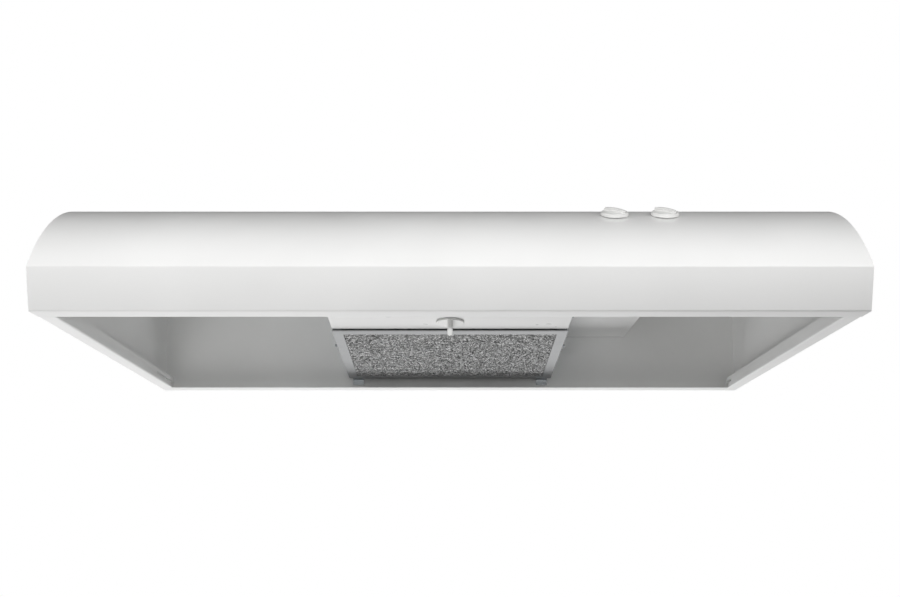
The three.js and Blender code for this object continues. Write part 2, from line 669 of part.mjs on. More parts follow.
// ---- Filter ----
/** The filter's frame, with the two tabs that hook over the rear clips. */
function filterFrame() {
  const half = FILTER_WIDTH / 2;
  const ring = cut(
    block(-half, half, 0, FILTER_LENGTH, FILTER_BOTTOM, FILTER_TOP),
    block(
      -half + FILTER_RIM, half - FILTER_RIM, FILTER_RIM, FILTER_LENGTH - FILTER_RIM,
      FILTER_BOTTOM - 1, FILTER_TOP + 1,
    ),
  );
  const middle = (FILTER_BOTTOM + FILTER_TOP) / 2;
  const tabs = [-1, 1].map((side) => {
    const x = side * (half - FILTER_TAB_INSET);
    return block(
      x - FILTER_TAB_WIDTH / 2, x + FILTER_TAB_WIDTH / 2, FILTER_LENGTH - 1, FILTER_LENGTH + FILTER_TAB_LENGTH,
      middle - FILTER_TAB_THICK / 2, middle + FILTER_TAB_THICK / 2,
    );
  });
  return join(ring, ...tabs);
}

/** The filter's mesh pack. */
function filterMesh() {
  const half = FILTER_WIDTH / 2 - FILTER_RIM - GAP;
  const near = FILTER_RIM + GAP;
  const middle = (FILTER_BOTTOM + FILTER_TOP) / 2;
  return block(-half, half, near, FILTER_LENGTH - near, middle - MESH_THICK / 2, middle + MESH_THICK / 2);
}

/** A rear clip: an angle on the rear panel, with a ledge under the filter's tab. */
function filterClip(side) {
  const middle = (FILTER_BOTTOM + FILTER_TOP) / 2;
  const [ledgeY, ledgeZ] = trayPoint(FILTER_LENGTH + FILTER_PIVOT + 0.5, middle - FILTER_TAB_THICK / 2 - GAP);
  const x = side * (FILTER_WIDTH / 2 - FILTER_TAB_INSET);
  const half = FILTER_TAB_WIDTH / 2 + 2;
  const back = WALL_FACE - GAP;
  return join(
    block(x - half, x + half, ledgeY, back, ledgeZ - 1.2, ledgeZ - 0.2),
    block(x - half, x + half, back - 1, back, ledgeZ - 8, ledgeZ - 0.2),
  );
}

/** A round button on the rail's edge that the filter snaps past. */
function snapButton(side) {
  const x = side * (FILTER_WIDTH / 2 + GAP + 1.3);
  return turned([[0, -2.4], [1.2, -2.2], [1.9, -1.4], [2.1, -0.4], [2.1, 1], [0, 1]], 16)
    .scale(0.6, 1, 1)
    .translate(x, SNAP_SETBACK, 0);
}

// ---- Light lens and latch ----
/** The lens panel: it hangs on two knuckles and lets the latch's stem through. */
function lightLens() {
  const half = FILTER_WIDTH / 2 - 0.4;
  const rear = -LENS_REAR_GAP;
  const panel = block(-half, half, LENS_FRONT + 12, rear, 0, LENS_THICK);
  const nose = block(-PLATE_IN + 1, PLATE_IN - 1, LENS_FRONT, LENS_FRONT + 13, 0, LENS_THICK);
  const wall = HINGE_PIN_R + GAP + 1.2;
  const knuckles = [-KNUCKLE_X, KNUCKLE_X].map((x) => block(
    x - KNUCKLE_WIDTH / 2, x + KNUCKLE_WIDTH / 2, LENS_PIN - wall, LENS_FRONT + 2,
    LENS_HINGE_RISE - wall, LENS_HINGE_RISE + wall,
  ));
  const bore = barAcross(HINGE_PIN_R + GAP, -half, half, LENS_PIN, LENS_HINGE_RISE);
  const stem = bar(LATCH_STEM_R + 0.5, -2, LENS_THICK + 2, 0, -LATCH_SETBACK);
  return cut(join(panel, nose, ...knuckles), bore, stem);
}

/** The lens's hinge pin. */
function lensHingePin() {
  return barAcross(HINGE_PIN_R, -PLATE_OUT - 2, PLATE_OUT + 2, LENS_PIN, LENS_HINGE_RISE, 20);
}

/** The latch knob: a disc under the lens, a finger fin across it, and the stem through the lens. */
function latchKnob() {
  const top = -0.4;
  const low = top - LATCH_DISC_THICK;
  const half = LATCH_FIN_WIDTH / 2;
  const reach = LATCH_DISC_R - half;
  const outline = [];
  for (let n = 0; n <= 12; n += 1) {
    const angle = Math.PI * n / 12;
    outline.push([half * Math.cos(angle), reach + half * Math.sin(angle)]);
  }
  for (let n = 0; n <= 12; n += 1) {
    const angle = Math.PI + Math.PI * n / 12;
    outline.push([half * Math.cos(angle), -reach + half * Math.sin(angle)]);
  }
  return join(
    bar(LATCH_DISC_R, low, top, 0, 0, 48),
    upright(outline, low - LATCH_FIN_DROP, low + 1),
    bar(LATCH_STEM_R, low + 1, TONGUE_LEVEL + TONGUE_THICK + 3),
  ).translate(0, -LATCH_SETBACK, 0);
}

/** The spring leaf that the latch turns over the catch flange. */
function latchTongue() {
  const half = TONGUE_WIDTH / 2;
  const high = TONGUE_LEVEL + TONGUE_THICK;
  const leaf = block(-half, half, -half - 1, TONGUE_REACH, TONGUE_LEVEL, high);
  const bore = bar(LATCH_STEM_R + GAP, TONGUE_LEVEL - 1, high + 1);
  return cut(leaf, bore).translate(0, -LATCH_SETBACK, 0);
}

/** The push nut that keeps the leaf on the stem. */
function latchNut() {
  const low = TONGUE_LEVEL + TONGUE_THICK + GAP;
  return turned([
    [LATCH_STEM_R + GAP, low], [LATCH_STEM_R + 4, low], [LATCH_STEM_R + 4, low + 0.8],
    [LATCH_STEM_R + GAP, low + 1.6], [LATCH_STEM_R + GAP, low],
  ], 24).translate(0, -LATCH_SETBACK, 0);
}

// ---- Lamp ----
const [LAMP_Y, LAMP_Z] = trayPoint(LENS_FRONT + LENS_LENGTH * 0.42, BULB_LIFT);
const SOCKET_BACK = PLATE_IN - GAP - SHEET - GAP;
const SOCKET_MOUTH = SOCKET_BACK - SOCKET_LENGTH;
const BULB_COLLAR = SOCKET_MOUTH - 1;

/** A turned piece about the lamp's axis, from [radius, x] points. */
function onLampAxis(points, sides = 24) {
  return turned(points, sides).rotateY(Math.PI / 2).translate(0, LAMP_Y, LAMP_Z);
}

/** The bulb, with its neck in the socket. */
function lampBulb() {
  const centre = BULB_COLLAR - BULB_LENGTH + BULB_R;
  const points = [[0, BULB_COLLAR], [BULB_NECK_R, BULB_COLLAR], [BULB_NECK_R + 1, BULB_COLLAR - 8]];
  const shoulder = radians(55);
  for (let n = 0; n < BULB_STEPS; n += 1) {
    const angle = shoulder + (Math.PI - shoulder) * n / BULB_STEPS;
    points.push([BULB_R * Math.sin(angle), centre + BULB_R * Math.cos(angle)]);
  }
  points.push([0, centre - BULB_R]);
  return onLampAxis(points);
}

/** The bulb's screw base. */
function lampBase() {
  const tip = BULB_COLLAR + GAP + BULB_BASE_LENGTH;
  return onLampAxis([
    [0, BULB_COLLAR + GAP], [BULB_NECK_R, BULB_COLLAR + GAP], [BULB_NECK_R, tip - 6],
    [5, tip - 1], [4, tip], [0, tip],
  ], 32);
}

/** The lamp socket, a cup on the bracket. */
function lampSocket() {
  const bore = BULB_NECK_R + 1;
  return onLampAxis([
    [0, SOCKET_BACK], [0, SOCKET_BACK - 3], [bore, SOCKET_BACK - 3], [bore, SOCKET_MOUTH],
    [SOCKET_R, SOCKET_MOUTH], [SOCKET_R, SOCKET_BACK - 6], [SOCKET_R - 4, SOCKET_BACK], [0, SOCKET_BACK],
  ], 32);
}

/** The bracket that the socket is riveted to. */
function socketBracket() {
  const back = PLATE_IN - GAP;
  return block(back - SHEET, back, LAMP_Y - SOCKET_R - 3, LAMP_Y + SOCKET_R + 3, LAMP_Z - 14, LAMP_Z + 26);
}

/** The reflector: a sheet folded over the lamp, from the front of the lens back to the partition. */
function lampReflector() {
  const top = LAMP_Z + BULB_R + 6;
  const front = trayPoint(LENS_FRONT + 3, LENS_THICK + 4);
  const rear = trayPoint(-LATCH_SETBACK - LATCH_STEM_R - 8, LENS_THICK + 10);
  const path = [front, [LAMP_Y - BULB_R - 8, top - 14], [LAMP_Y - BULB_R + 6, top],
    [LAMP_Y + BULB_R - 2, top], [LAMP_Y + BULB_R + 10, top - 14], rear];
  const half = PLATE_IN - GAP - SHEET - GAP;
  const socketRoom = barAcross(SOCKET_R + 3, half - SOCKET_LENGTH, half + 2, LAMP_Y, LAMP_Z);
  return cut(folded(path, SHEET / 2, -half, half), socketRoom);
}

// ---- Wiring box ----
const LAMP_LEAD_Y = LAMP_Y + SOCKET_R + 9;

/** The wiring box, open at the top and the rear, with a hole for each lead. */
function wiringCover() {
  const right = WIRING_X + WIRING_WIDTH;
  const rear = WALL_FACE - GAP;
  const top = CEILING - GAP;
  const shell = cut(
    block(WIRING_X, right, WIRING_Y, rear, WIRING_RISE, top),
    block(WIRING_X + SHEET, right - SHEET, WIRING_Y + SHEET, rear + 1, WIRING_RISE + SHEET, top + 1),
  );
  const hole = (x) => barAlong(LEAD_R + 1, WIRING_Y - 2, WIRING_Y + 3, x, LEAD_Z);
  const side = barAcross(LEAD_R + 1, WIRING_X - 2, WIRING_X + 3, SIDE_LEAD_Y, MOTOR_LEAD_Z);
  const screwHole = bar(2.2, WIRING_RISE - 1, WIRING_RISE + 3, COVER_SCREW_X, COVER_SCREW_Y, 16);
  return cut(shell, hole(LAMP_LEAD_X), hole(FAN_LEAD_X), hole(LIGHT_LEAD_X), side, screwHole);
}

/** A round bar along Y. */
function barAlong(radius, y0, y1, x, z, sides = 20) {
  return new THREE.CylinderGeometry(radius, radius, y1 - y0, sides).translate(x, (y0 + y1) / 2, z);
}

/** The bushing for the supply cable: a collar in the top sheet with a flange under it. */
function cableBushing() {
  const bore = BUSHING_R - BUSHING_WALL;
  return turned([
    [bore, HEIGHT], [BUSHING_R, HEIGHT], [BUSHING_R, CEILING - GAP], [BUSHING_R + 3, CEILING - GAP],
    [BUSHING_R + 3, CEILING - GAP - 2], [bore, CEILING - GAP - 2], [bore, HEIGHT],
  ], 32).translate(BUSHING_X, BUSHING_Y, 0);
}

/** The terminal block with its three wells. */
function terminalBlock() {
  const floor = WIRING_RISE + SHEET + GAP;
  const x = WIRING_X + WIRING_WIDTH - 34;
  const body = block(x, x + 20, WIRING_Y + 70, WIRING_Y + 124, floor, floor + 16);
  const wells = [0, 1, 2].map((n) => bar(4, floor + 8, floor + 20, x + 10, WIRING_Y + 80 + 17 * n, 16));
  return cut(body, ...wells);
}

/** The motor's run capacitor. */
function runCapacitor() {
  const z = WIRING_RISE + SHEET + GAP + 13;
  return barAlong(12.5, WIRING_Y + 84, WIRING_Y + 134, WIRING_X + 30, z, 28);
}

// ---- Leads ----
/** The supply of one switch, from its foot up to the top sheet and back to the wiring box. */
function switchLead(group, entryX) {
  const foot = new THREE.Vector3(0, SWITCH_DEPTH / 4, -2 * SHEET - SWITCH_HEIGHT - GAP).applyMatrix4(group.matrix);
  const down = new THREE.Vector3(0, SWITCH_DEPTH / 4, -SWITCH_HEIGHT - 12).applyMatrix4(group.matrix);
  return lead([
    foot.toArray(), down.toArray(),
    [foot.x, down.y + 34, down.z + 6], [foot.x, down.y + 74, LEAD_Z - 22],
    [(foot.x + entryX) / 2, (down.y + WIRING_Y) / 2 + 40, LEAD_Z], [entryX, WIRING_Y - 24, LEAD_Z],
    [entryX, WIRING_Y + 22, LEAD_Z],
  ]);
}

/** The motor's supply, across the plenum and out through its side plate to the wiring box. */
function motorLead() {
  const z = MOTOR_LEAD_Z;
  const scrollX = SCROLL_START_R + SCROLL_GROWTH;
  return lead([
    [MOTOR_R + 0.6, WHEEL_Y, z], [scrollX - 10, WHEEL_Y, z], [scrollX + 10, WHEEL_Y + 1, z],
    [PLATE_IN - 22, SIDE_LEAD_Y - 2, z], [PLATE_IN - 6, SIDE_LEAD_Y, z], [WIRING_X + 16, SIDE_LEAD_Y, z],
  ]);
}

/** The lamp's supply, out through the plenum's side and back to the wiring box. */
function lampLead() {
  return lead([
    [PLATE_IN - 7, LAMP_LEAD_Y, LAMP_Z], [PLATE_OUT + 3, LAMP_LEAD_Y, LAMP_Z],
    [LAMP_LEAD_X, LAMP_LEAD_Y + 9, LAMP_Z + 2], [LAMP_LEAD_X, (LAMP_LEAD_Y + WIRING_Y) / 2, LEAD_Z - 4],
    [LAMP_LEAD_X, WIRING_Y - 22, LEAD_Z], [LAMP_LEAD_X, WIRING_Y + 14, LEAD_Z],
  ]);
}

// ---- Controls ----
/** A control knob: a low dished cap with a finger ridge and a blind bore for the shaft. */
function controlKnob() {
  const foot = 0.5;
  const cap = turned([
    [0, 2.8], [KNOB_R - 2.2, 2.8], [KNOB_R - 2, foot], [KNOB_R, foot], [KNOB_R - 0.4, KNOB_SKIRT],
    [KNOB_R - 2, KNOB_SKIRT + 1], [0, KNOB_SKIRT + 1.6],
  ]);
  const half = KNOB_RIDGE_WIDTH / 2;
  const long = KNOB_R - 1.6;
  const ridge = new THREE.Shape([
    new THREE.Vector2(-long, KNOB_SKIRT), new THREE.Vector2(long, KNOB_SKIRT),
    new THREE.Vector2(long - 3, KNOB_TOP), new THREE.Vector2(-long + 3, KNOB_TOP),
  ]);
  const fin = new THREE.ExtrudeGeometry(ridge, { depth: 2 * half, bevelEnabled: false });
  fin.rotateX(Math.PI / 2).translate(0, half, 0).rotateZ(radians(KNOB_RIDGE_TURN_DEG));
  const bore = bar(SWITCH_SHAFT_R + GAP, 1, 5.4, 0, 0, 20);
  return cut(join(cap, fin), bore);
}

/** A rotary switch: its case under the sheet and its threaded bush up through it. */
function switchBody() {
  const top = -SHEET - 0.6;
  const x = SWITCH_WIDTH / 2;
  const y = SWITCH_DEPTH / 2;
  return cut(
    join(
      block(-x, x, -y, y, top - SWITCH_HEIGHT, top),
      bar(SWITCH_BUSH_R, top - 1, 2.4, 0, 0, 24),
    ),
    bar(SWITCH_SHAFT_R + GAP, top - SWITCH_HEIGHT + 4, 4, 0, 0, 20),
  );
}

const switchShaft = () => bar(SWITCH_SHAFT_R, -SHEET - SWITCH_HEIGHT + 4.4, 5.1, 0, 0, 20);

/** The nut that clamps the switch to the crown. */
function switchNut() {
  return cut(bar(8, 0.3, 2.2, 0, 0, 6), bar(SWITCH_BUSH_R + GAP, 0, 3, 0, 0, 24));
}

// ---- Assembly ----
const fanControl = controlGroup(FAN_KNOB_X);
const lightControl = controlGroup(LIGHT_KNOB_X);
hood.add(fanControl, lightControl);

function addCasing() {
  add(hood, "canopy_shell", canopyShell([fanControl, lightControl]), WHITE_ENAMEL);
  add(hood, "side_panel_left", sidePanel(-1, LIP_SLOT_LEFT), WHITE_ENAMEL);
  add(hood, "side_panel_right", sidePanel(1, LIP_SLOT_RIGHT), WHITE_ENAMEL);
  add(hood, "rear_panel", rearPanel(), WHITE_ENAMEL);
  add(hood, "rear_duct_knockout", rearKnockout(), WHITE_ENAMEL);
}

function addPlenum() {
  const motorHole = barAcross(LEAD_R + 1, PLATE_IN - 2, PLATE_OUT + 2, SIDE_LEAD_Y, MOTOR_LEAD_Z);
  const lampHole = barAcross(LEAD_R + 1.5, PLATE_IN - 2, PLATE_OUT + 2, LAMP_LEAD_Y, LAMP_Z);
  add(hood, "plenum_side_left", plenumSide(-1, []), GALVANISED);
  add(hood, "plenum_side_right", plenumSide(1, [motorHole, lampHole]), GALVANISED);
  add(hood, "plenum_front", plenumFront(), GALVANISED);
  add(hood, "blower_deck", blowerDeck(), GALVANISED);
  add(hood, "outlet_wall", outletWall(), GALVANISED);
}

function addBlower() {
  const seat = CEILING - GAP - BRACKET_THICK - GAP;
  add(hood, "inlet_ring", inletRing(), BLACK_PLASTIC);
  add(hood, "blower_scroll", blowerScroll(), GALVANISED);
  add(hood, "blower_wheel", blowerWheel(), BLACK_PLASTIC);
  add(hood, "motor_body", motorBody(), RIM_STEEL);
  add(hood, "motor_shaft", motorShaft(), SPRING_STEEL);
  add(hood, "motor_bracket", motorBracket(), GALVANISED);
  add(hood, "motor_screw_left", screwUp(-BRACKET_SCREW_X, WHEEL_Y, seat, BRACKET_THICK + GAP), ZINC);
  add(hood, "motor_screw_right", screwUp(BRACKET_SCREW_X, WHEEL_Y, seat, BRACKET_THICK + GAP), ZINC);
}

function addDamper() {
  add(hood, "damper_frame", damperFrame(), GALVANISED);
  add(hood, "damper_flap", damperFlap(), ALUMINIUM);
  add(hood, "damper_pin", damperPin(), SPRING_STEEL);
}

function addTray() {
  add(tray, "filter_frame", filterFrame(), ALUMINIUM);
  add(tray, "filter_mesh", filterMesh(), MESH_ALUMINIUM);
  add(hood, "filter_clip_left", filterClip(-1), ZINC);
  add(hood, "filter_clip_right", filterClip(1), ZINC);
  add(tray, "snap_button_left", snapButton(-1), ZINC);
  add(tray, "snap_button_right", snapButton(1), ZINC);
  add(tray, "light_lens", lightLens(), LENS_PLASTIC);
  add(tray, "lens_hinge_pin", lensHingePin(), SPRING_STEEL);
  add(tray, "latch_knob", latchKnob(), WHITE_PLASTIC);
  add(tray, "latch_tongue", latchTongue(), SPRING_STEEL);
  add(tray, "latch_push_nut", latchNut(), ZINC);
}

function addLamp() {
  add(hood, "lamp_bulb", lampBulb(), GLASS);
  add(hood, "lamp_base", lampBase(), BRASS);
  add(hood, "lamp_socket", lampSocket(), PORCELAIN);
  add(hood, "socket_bracket", socketBracket(), GALVANISED);
  add(hood, "lamp_reflector", lampReflector(), ALUMINIUM);
}

function addWiring() {
  const screwSeat = WIRING_RISE - GAP;
  add(hood, "wiring_cover", wiringCover(), WHITE_ENAMEL);
  add(hood, "cover_screw", screwUp(COVER_SCREW_X, COVER_SCREW_Y, screwSeat, 8), ZINC);
  add(hood, "cable_bushing", cableBushing(), BLACK_PLASTIC);
  add(hood, "terminal_block", terminalBlock(), PORCELAIN);
  add(hood, "run_capacitor", runCapacitor(), RIM_STEEL);
  add(hood, "fan_lead", switchLead(fanControl, FAN_LEAD_X), LEAD_SHEATH);
  add(hood, "light_lead", switchLead(lightControl, LIGHT_LEAD_X), LEAD_SHEATH);
  add(hood, "motor_lead", motorLead(), LEAD_SHEATH);
  add(hood, "lamp_lead", lampLead(), LEAD_SHEATH);
}

function addControls() {
  for (const [name, group] of [["fan", fanControl], ["light", lightControl]]) {
    add(group, `${name}_knob`, controlKnob(), WHITE_PLASTIC);
    add(group, `${name}_switch_body`, switchBody(), BLACK_PLASTIC);
    add(group, `${name}_switch_shaft`, switchShaft(), SPRING_STEEL);
    add(group, `${name}_switch_nut`, switchNut(), ZINC);
  }
}

addCasing();
addPlenum();
addBlower();
addDamper();
addTray();
addLamp();
addWiring();
addControls();

export default hood;
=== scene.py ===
"""An under cabinet range hood: its fine surfaces and finishes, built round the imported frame.

Shapes are drawn on the bench, in millimetres: x across, y back from the front crease, z up from the rim.
Each is a function of two parameters worked out on a grid, then moved into the row frame in metres.
"""

import json
import logging
import math
from collections.abc import Callable, Sequence
from dataclasses import dataclass, field
from enum import Enum

import bmesh
import bpy
import numpy as np
from mathutils import Matrix, Vector


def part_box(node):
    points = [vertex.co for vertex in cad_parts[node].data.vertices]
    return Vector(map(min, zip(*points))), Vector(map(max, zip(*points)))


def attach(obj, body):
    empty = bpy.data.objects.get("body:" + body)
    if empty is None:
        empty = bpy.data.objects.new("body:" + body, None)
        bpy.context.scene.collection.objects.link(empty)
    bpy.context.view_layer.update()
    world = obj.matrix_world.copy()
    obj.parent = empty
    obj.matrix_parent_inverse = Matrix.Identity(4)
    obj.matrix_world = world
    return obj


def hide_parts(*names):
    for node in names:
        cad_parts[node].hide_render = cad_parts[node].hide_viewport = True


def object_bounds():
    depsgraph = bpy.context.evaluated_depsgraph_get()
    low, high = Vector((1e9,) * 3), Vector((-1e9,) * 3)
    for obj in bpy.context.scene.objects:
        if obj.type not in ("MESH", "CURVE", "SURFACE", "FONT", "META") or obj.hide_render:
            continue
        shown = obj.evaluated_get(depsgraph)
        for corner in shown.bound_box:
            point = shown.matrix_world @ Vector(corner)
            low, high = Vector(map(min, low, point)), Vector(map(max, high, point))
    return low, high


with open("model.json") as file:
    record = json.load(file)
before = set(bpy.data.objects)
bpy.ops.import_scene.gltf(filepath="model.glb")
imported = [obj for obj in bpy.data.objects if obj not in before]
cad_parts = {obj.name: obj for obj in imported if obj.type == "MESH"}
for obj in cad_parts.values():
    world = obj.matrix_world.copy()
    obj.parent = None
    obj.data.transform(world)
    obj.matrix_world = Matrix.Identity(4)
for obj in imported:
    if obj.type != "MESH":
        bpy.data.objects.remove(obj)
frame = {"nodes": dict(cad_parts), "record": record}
CAD_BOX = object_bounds()

logging.basicConfig(level=logging.INFO, format="%(name)s: %(message)s")
log = logging.getLogger("hood")

MM = 0.001
FULL_TURN = 2 * math.pi
Points = np.ndarray


# ---------------------------------------------------------------- bench and row frames


def bench_box(node: str) -> tuple[Points, Points]:
    """The lowest and highest corner of a node on the bench.

    Args:
        node: the node's name in the frame.

    Returns:
        Two points in bench millimetres.
    """
    low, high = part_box(node)
    return (np.array(low) - BENCH_ORIGIN) / MM, (np.array(high) - BENCH_ORIGIN) / MM


def to_row(points: Points) -> Points:
    """Bench millimetres to row metres."""
    return points * MM + BENCH_ORIGIN


BENCH_ORIGIN = np.array([0.0, CAD_BOX[0][1], CAD_BOX[0][2]])
WIDTH, DEPTH, HEIGHT = ((np.array(CAD_BOX[1]) - np.array(CAD_BOX[0])) / MM).tolist()


# ---------------------------------------------------------------- outlines


def arc(centre: Sequence[float], radius: float, start: float, end: float, steps: int) -> Points:
    """Points on a circle from one angle to another, both in degrees, measured from the first axis."""
    angle = np.radians(np.linspace(start, end, steps + 1))
    return np.array(centre) + radius * np.stack([np.cos(angle), np.sin(angle)], axis=1)


def rounded(corners: Sequence[Sequence[float]], radii: Sequence[float] | float, steps: int = 5,
            closed: bool = False) -> Points:
    """A path with each corner replaced by an arc that is tangent to both sides.

    The arc starts the radius times the tangent of half the turn before the corner. Its points are the
    corner's circle centre plus the radius turned evenly from the first side's normal to the second's.

    Args:
        corners: the path's [a, b] corners.
        radii: one radius for each corner, or one for all. Nought keeps the corner.
        steps: faces on each arc.
        closed: whether the last corner joins the first.

    Returns:
        The path's points.
    """
    path = np.array(corners, float)
    sizes = np.broadcast_to(np.array(radii, float), len(path)).copy()
    if not closed:
        sizes[[0, -1]] = 0
    pieces = []
    for n, size in enumerate(sizes):
        if size <= 0:
            pieces.append(path[n:n + 1])
            continue
        here = path[n]
        before, after = path[n - 1] - here, path[(n + 1) % len(path)] - here
        before, after = before / np.linalg.norm(before), after / np.linalg.norm(after)
        half = math.acos(float(np.clip(before @ after, -1, 1))) / 2
        centre = here + (before + after) / np.linalg.norm(before + after) * size / math.sin(half)
        reach = size / math.tan(half)
        first, last = here + before * reach - centre, here + after * reach - centre
        turn = math.pi - 2 * half
        share = np.linspace(0, 1, steps + 1)[:, None]
        spoke = np.sin((1 - share) * turn) * first + np.sin(share * turn) * last
        pieces.append(centre + spoke / math.sin(turn))
    return np.concatenate(pieces)


def beside(path: Points, distance: float, closed: bool = False) -> Points:
    """A path moved to its right by a distance, with mitred corners.

    Each point moves along the sum of its two sides' unit normals, over one plus their dot product.
    """
    side = (np.roll(path, -1, axis=0) if closed else path[1:]) - (path if closed else path[:-1])
    length = np.linalg.norm(side, axis=1, keepdims=True)
    right = np.stack([side[:, 1], -side[:, 0]], axis=1) / length
    before = np.roll(right, 1, axis=0) if closed else np.concatenate([right[:1], right])
    after = right if closed else np.concatenate([right, right[-1:]])
    share = distance / (1 + np.sum(before * after, axis=1, keepdims=True))
    return path + share * (before + after)


def rectangle(x0: float, x1: float, y0: float, y1: float, radius: float, steps: int = 5) -> Points:
    """A rectangle with round corners, anticlockwise."""
    return rounded([[x0, y0], [x1, y0], [x1, y1], [x0, y1]], radius, steps, closed=True)


def capsule(half_width: float, reach: float, steps: int = 14) -> Points:
    """An outline with straight sides along the second axis and round ends, anticlockwise."""
    return np.concatenate([
        arc([0, reach], half_width, 0, 180, steps), arc([0, -reach], half_width, 180, 360, steps),
    ])


def circle(radius: float, steps: int = 48, x: float = 0, y: float = 0) -> Points:
    """A circle's points, anticlockwise, the first not repeated."""
    return arc([x, y], radius, 0, 360, steps)[:-1]


# ---------------------------------------------------------------- surfaces


@dataclass
class Shell:
    """One or more closed surfaces in bench millimetres.

    Attributes:
        points: every corner, n by 3.
        faces: arrays of corner numbers, one array for each number of sides.
    """

    points: Points
    faces: list[Points] = field(default_factory=list)

    def __add__(self, other: "Shell") -> "Shell":
        """Both shells' surfaces, side by side."""
        shifted = [block + len(self.points) for block in other.faces]
        return Shell(np.concatenate([self.points, other.points]), [*self.faces, *shifted])

    def moved(self, x: float = 0, y: float = 0, z: float = 0) -> "Shell":
        """The shell shifted."""
        return Shell(self.points + np.array([x, y, z]), self.faces)

    def placed(self, matrix: Matrix) -> "Shell":
        """The shell turned and shifted by a matrix."""
        table = np.array(matrix)
        return Shell(self.points @ table[:3, :3].T + table[:3, 3], self.faces)

    def standing(self, order: tuple[int, int, int]) -> "Shell":
        """The shell with its axes taken in another order."""
        return Shell(self.points[:, list(order)], self.faces).outward()

    def outward(self) -> "Shell":
        """The shell with its faces outwards.

        The volume is a sixth of each fan triangle's first corner dotted with the cross product of the
        other two, summed. If it is negative, every face turns.
        """
        volume = 0.0
        for block in self.faces:
            corners = self.points[block]
            crosses = np.cross(corners[:, 1:-1], corners[:, 2:])
            volume += float(np.sum(corners[:, :1] * crosses))
        return self if volume > 0 else Shell(self.points, [block[:, ::-1] for block in self.faces])


def grid_faces(rows: int, columns: int, wrap_rows: bool = False, wrap_columns: bool = False) -> Points:
    """Four-sided faces between neighbouring places of a grid numbered row by row."""
    row = np.arange(rows if wrap_rows else rows - 1)[:, None]
    column = np.arange(columns if wrap_columns else columns - 1)[None, :]
    right, here, below = (column + 1) % columns, row * columns, (row + 1) % rows * columns
    corners = [here + column, here + right, below + right, below + column]
    return np.stack([np.broadcast_to(c, (row.size, column.size)) for c in corners], axis=-1).reshape(-1, 4)


def lofted(rings: Points, capped: bool = True, wrapped: bool = False) -> Shell:
    """A skin over rings of points, r by n by 3, closed by caps or by joining its last ring to its first."""
    count, around = rings.shape[:2]
    faces = [grid_faces(count, around, wrap_rows=wrapped, wrap_columns=True)]
    if capped and not wrapped:
        ends = np.arange(around)
        faces += [ends[None, ::-1], ends[None, :] + (count - 1) * around]
    return Shell(rings.reshape(-1, 3), faces).outward()


def turned(profile: Points, sides: int = 64, wrapped: bool = False) -> Shell:
    """A profile of [radius, height] points turned about Z: x and y are the radius times cosine and sine."""
    angle = np.linspace(0, FULL_TURN, sides, endpoint=False)
    radius, height = profile[:, 0, None], profile[:, 1, None]
    rings = np.stack([radius * np.cos(angle), radius * np.sin(angle), height + 0 * angle], axis=-1)
    return lofted(rings, capped=False, wrapped=wrapped)


def slab(outline: Points, z0: float, z1: float, low: float = 0.3, high: float | None = None,
         steps: int = 3) -> Shell:
    """An upright block over a closed outline, with its two rims rounded.

    At each rim the outline shrinks by the radius less the radius times sine while the height climbs by
    the radius less the radius times cosine.

    Args:
        outline: anticlockwise [x, y] points.
        z0: the lower face.
        z1: the upper face.
        low: the lower rim's radius.
        high: the upper rim's radius, the same as the lower one's if not given.
        steps: faces on each rim.

    Returns:
        The block.
    """
    high = low if high is None else high
    angle = np.linspace(0, math.pi / 2, steps + 1)
    inset = np.concatenate([low * (1 - np.sin(angle)), high * (1 - np.cos(angle))])
    level = np.concatenate([z0 + low * (1 - np.cos(angle)), z1 - high * (1 - np.sin(angle))])
    rings = [np.column_stack([beside(outline, -d, closed=True), np.full(len(outline), h)])
             for d, h in zip(inset, level)]
    return lofted(np.array(rings))


LEAST_RADIUS = 0.05


def shrinking(x0: float, x1: float, y0: float, y1: float, radius: float,
              steps: int = 4) -> Callable[[float], Points]:
    """A rectangle as a function of its inset, which its corners' radius loses as well."""
    return lambda inset: rectangle(
        x0 + inset, x1 - inset, y0 + inset, y1 - inset, max(radius - inset, LEAST_RADIUS), steps)


def stacked(outline: Callable[[float], Points], section: Points | Sequence[Sequence[float]],
            wrapped: bool = False) -> Shell:
    """Rings of an outline, one for each [inset, height] of a section, skinned and closed."""
    rings = [outline(inset) for inset, _ in section]
    return lofted(np.array([np.column_stack([ring, np.full(len(ring), height)])
                            for ring, (_, height) in zip(rings, section)]), wrapped=wrapped)


def box(x0: float, x1: float, y0: float, y1: float, z0: float, z1: float, edge: float = 0.3) -> Shell:
    """A block with softened edges."""
    return slab(rectangle(x0, x1, y0, y1, edge * 1.2, 3), z0, z1, edge)


def bar(radius: float, z0: float, z1: float, edge: float = 0.3, sides: int = 48) -> Shell:
    """A round bar along Z with softened ends."""
    return slab(circle(radius, sides), z0, z1, edge)


def across(shell: Shell) -> Shell:
    """A shell drawn along Z laid along X: its z becomes x, its x becomes y and its y becomes z."""
    return shell.standing((2, 0, 1))


def tube(route: Points, radius: float, sides: int = 16) -> Shell:
    """A round tube along a route.

    The section's first axis is the route's direction crossed with an axis that the route never follows,
    and its second is square to both.
    """
    along = np.gradient(route, axis=0)
    along /= np.linalg.norm(along, axis=1, keepdims=True)
    first = np.cross(along, np.array([0.31, -0.17, 0.93]))
    first /= np.linalg.norm(first, axis=1, keepdims=True)
    second = np.cross(along, first)
    angle = np.linspace(0, FULL_TURN, sides, endpoint=False)[None, :, None]
    spokes = np.cos(angle) * first[:, None] + np.sin(angle) * second[:, None]
    return lofted(route[:, None] + radius * spokes)


